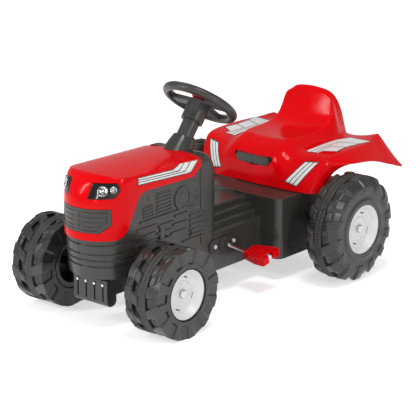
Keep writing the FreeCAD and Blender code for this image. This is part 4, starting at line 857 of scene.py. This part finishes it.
decal_surfaces = surface_of(softened["hood"]), surface_of(seat_piece)
for side, side_name in sides:
    side_decals(side, side_name, *decal_surfaces)


# Reflectors of the headlights

# Centre near the left lamp's face and radius, in millimetres
reflector_places = [((386.5, 49.7, 297.7), 10.5), ((371, 64.5, 299.9), 7.0)]
# Share of the radius and height over the lamp's face in millimetres
reflector_profile = [(0, 0.5), (0.22, 0.45), (0.26, 0.9), (0.34, 0.5), (0.86, 1.5), (0.95, 1.8), (1.0, 1.4),
                     (1.0, -0.4)]
reflector_steps = 32
facet_row = 3
facet_count = 4
facet_steps = (3, 4)


def reflector(name, near, radius, surface, body):
    """Bright bowl with dark facets, standing on the lamp's face."""
    point, normal, _, _ = surface.find_nearest(near)
    side = normal.cross(Vector((0, 0, 1))).normalized()
    rise = side.cross(normal).normalized()
    profile = [(share * radius, height * MM) for share, height in reflector_profile]
    points = turned_points(point, normal, side, rise, profile, reflector_steps)
    count = len(points)
    faces = tube_faces(len(profile), reflector_steps) + [tuple(range(count - reflector_steps, count))]
    piece = add_mesh(name, points, faces, materials["cap_chrome"], body)
    piece.data.materials.append(materials["lamp_black"])
    for face in piece.data.polygons:
        row, step = divmod(face.index, reflector_steps)
        if row == facet_row and step % (reflector_steps // facet_count) in facet_steps:
            face.material_index = 1


for side, side_name in sides:
    lamp = "headlight_" + side_name
    lamp_surface = surface_of(softened[lamp])
    for index, ((x, y, z), radius) in enumerate(reflector_places):
        reflector("reflector_%s_%d" % (side_name, index), Vector((x, side * y, z)) * MM, radius * MM,
                  lamp_surface, body_of[lamp])


# Bright studs on the front weight

stud_count = 4
stud_r = 3.2 * MM
stud_h = 1.0 * MM
stud_drop = 12 * MM
stud_steps = 20
# Shares of the radius and of the height
stud_profile_shares = [(1, -0.6), (1, 0.3), (0.8, 0.75), (0.45, 1)]


def weight_studs():
    low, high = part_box("front_weight")
    pitch = (high.y - low.y) / stud_count
    profile = [(radius * stud_r, height * stud_h) for radius, height in stud_profile_shares]
    along, across, up = Matrix.Identity(3)
    for index in range(stud_count):
        centre = Vector((high.x, low.y + pitch * (index + 0.5), high.z - stud_drop))
        points = turned_points(centre, along, across, up, profile, stud_steps)
        count = len(points)
        faces = tube_faces(len(profile), stud_steps)
        faces += [tuple(range(stud_steps))[::-1], tuple(range(count - stud_steps, count))]
        add_mesh("weight_stud_%d" % index, points, faces, materials["steel_bright"], body_of["front_weight"])


weight_studs()


# Floor, light and camera

floor_half = 60.0
floor_glow = 0.55
world_level = 0.42
# Place, aim, width and height in metres, and power in watts
lamps = {
    "key_box": ((2.3, -1.15, 1.5), (0.1, 0, 0.2), 0.26, 1.3, 26),
    "strip_box": ((3.0, 1.05, 0.75), (0.3, 0.05, 0.25), 0.07, 0.9, 10),
    "top_box": ((0.5, 0.8, 2.7), (0, 0, 0.2), 0.7, 0.45, 20),
    "side_box": ((0.4, 3.0, 1.4), (0, 0, 0.2), 0.26, 0.8, 20),
}
# Camera solved from the photo's wheels: its place in metres and its axes, then lens and sensor in millimetres
camera_place = (3.316528, 2.806737, 1.506193)
camera_right = (-0.645994, 0.763343, 0.0)
camera_up = (-0.226329, -0.191405, 0.955060)
camera_back = (0.729018, 0.616986, 0.296413)
camera_lens = 182.43
camera_sensor = 36.0


def brighten(material):
    """Lifts a surface to white where it is seen, mirrored or seen through, with its shadows kept."""
    tree = material.node_tree
    path = tree.nodes.new("ShaderNodeLightPath")
    seen = path.outputs["Is Camera Ray"]
    for ray in ("Is Glossy Ray", "Is Transmission Ray"):
        joined = tree.nodes.new("ShaderNodeMath")
        joined.operation = "MAXIMUM"
        tree.links.new(seen, joined.inputs[0])
        tree.links.new(path.outputs[ray], joined.inputs[1])
        seen = joined.outputs[0]
    level = tree.nodes.new("ShaderNodeMath")
    level.operation = "MULTIPLY"
    level.inputs[1].default_value = floor_glow
    tree.links.new(seen, level.inputs[0])
    glow = tree.nodes.new("ShaderNodeEmission")
    tree.links.new(level.outputs[0], glow.inputs["Strength"])
    both = tree.nodes.new("ShaderNodeAddShader")
    tree.links.new(tree.nodes["Principled BSDF"].outputs[0], both.inputs[0])
    tree.links.new(glow.outputs[0], both.inputs[1])
    tree.links.new(both.outputs[0], tree.nodes["Material Output"].inputs["Surface"])


def stage():
    mesh = bpy.data.meshes.new("floor")
    corners = [(-floor_half, -floor_half, 0), (floor_half, -floor_half, 0), (floor_half, floor_half, 0),
               (-floor_half, floor_half, 0)]
    mesh.from_pydata(corners, [], [(0, 1, 2, 3)])
    floor = bpy.data.objects.new("floor", mesh)
    bpy.context.scene.collection.objects.link(floor)
    brighten(materials["floor_paper"])
    mesh.materials.append(materials["floor_paper"])

    world = bpy.data.worlds.new("studio")
    bpy.context.scene.world = world
    world.use_nodes = True
    sky = world.node_tree.nodes["Background"]
    sky.inputs["Color"].default_value = (1, 1, 1, 1)
    sky.inputs["Strength"].default_value = world_level


def softbox(name, place, aim, width, height, power):
    lamp = bpy.data.lights.new(name, "AREA")
    lamp.shape = "RECTANGLE"
    lamp.size = width
    lamp.size_y = height
    lamp.energy = power
    holder = bpy.data.objects.new(name, lamp)
    bpy.context.scene.collection.objects.link(holder)
    holder.location = place
    holder.rotation_mode = "QUATERNION"
    holder.rotation_quaternion = (Vector(aim) - Vector(place)).to_track_quat("-Z", "Y")


def camera():
    data = bpy.data.cameras.new("camera")
    data.lens = camera_lens
    data.sensor_width = camera_sensor
    holder = bpy.data.objects.new("camera", data)
    bpy.context.scene.collection.objects.link(holder)
    axes = Matrix((camera_right, camera_up, camera_back)).transposed()
    holder.matrix_world = Matrix.Translation(camera_place) @ axes.to_4x4()
    bpy.context.scene.camera = holder


stage()
for name, lamp in lamps.items():
    softbox(name, *lamp)
camera()
bpy.context.scene.view_settings.view_transform = "Standard"
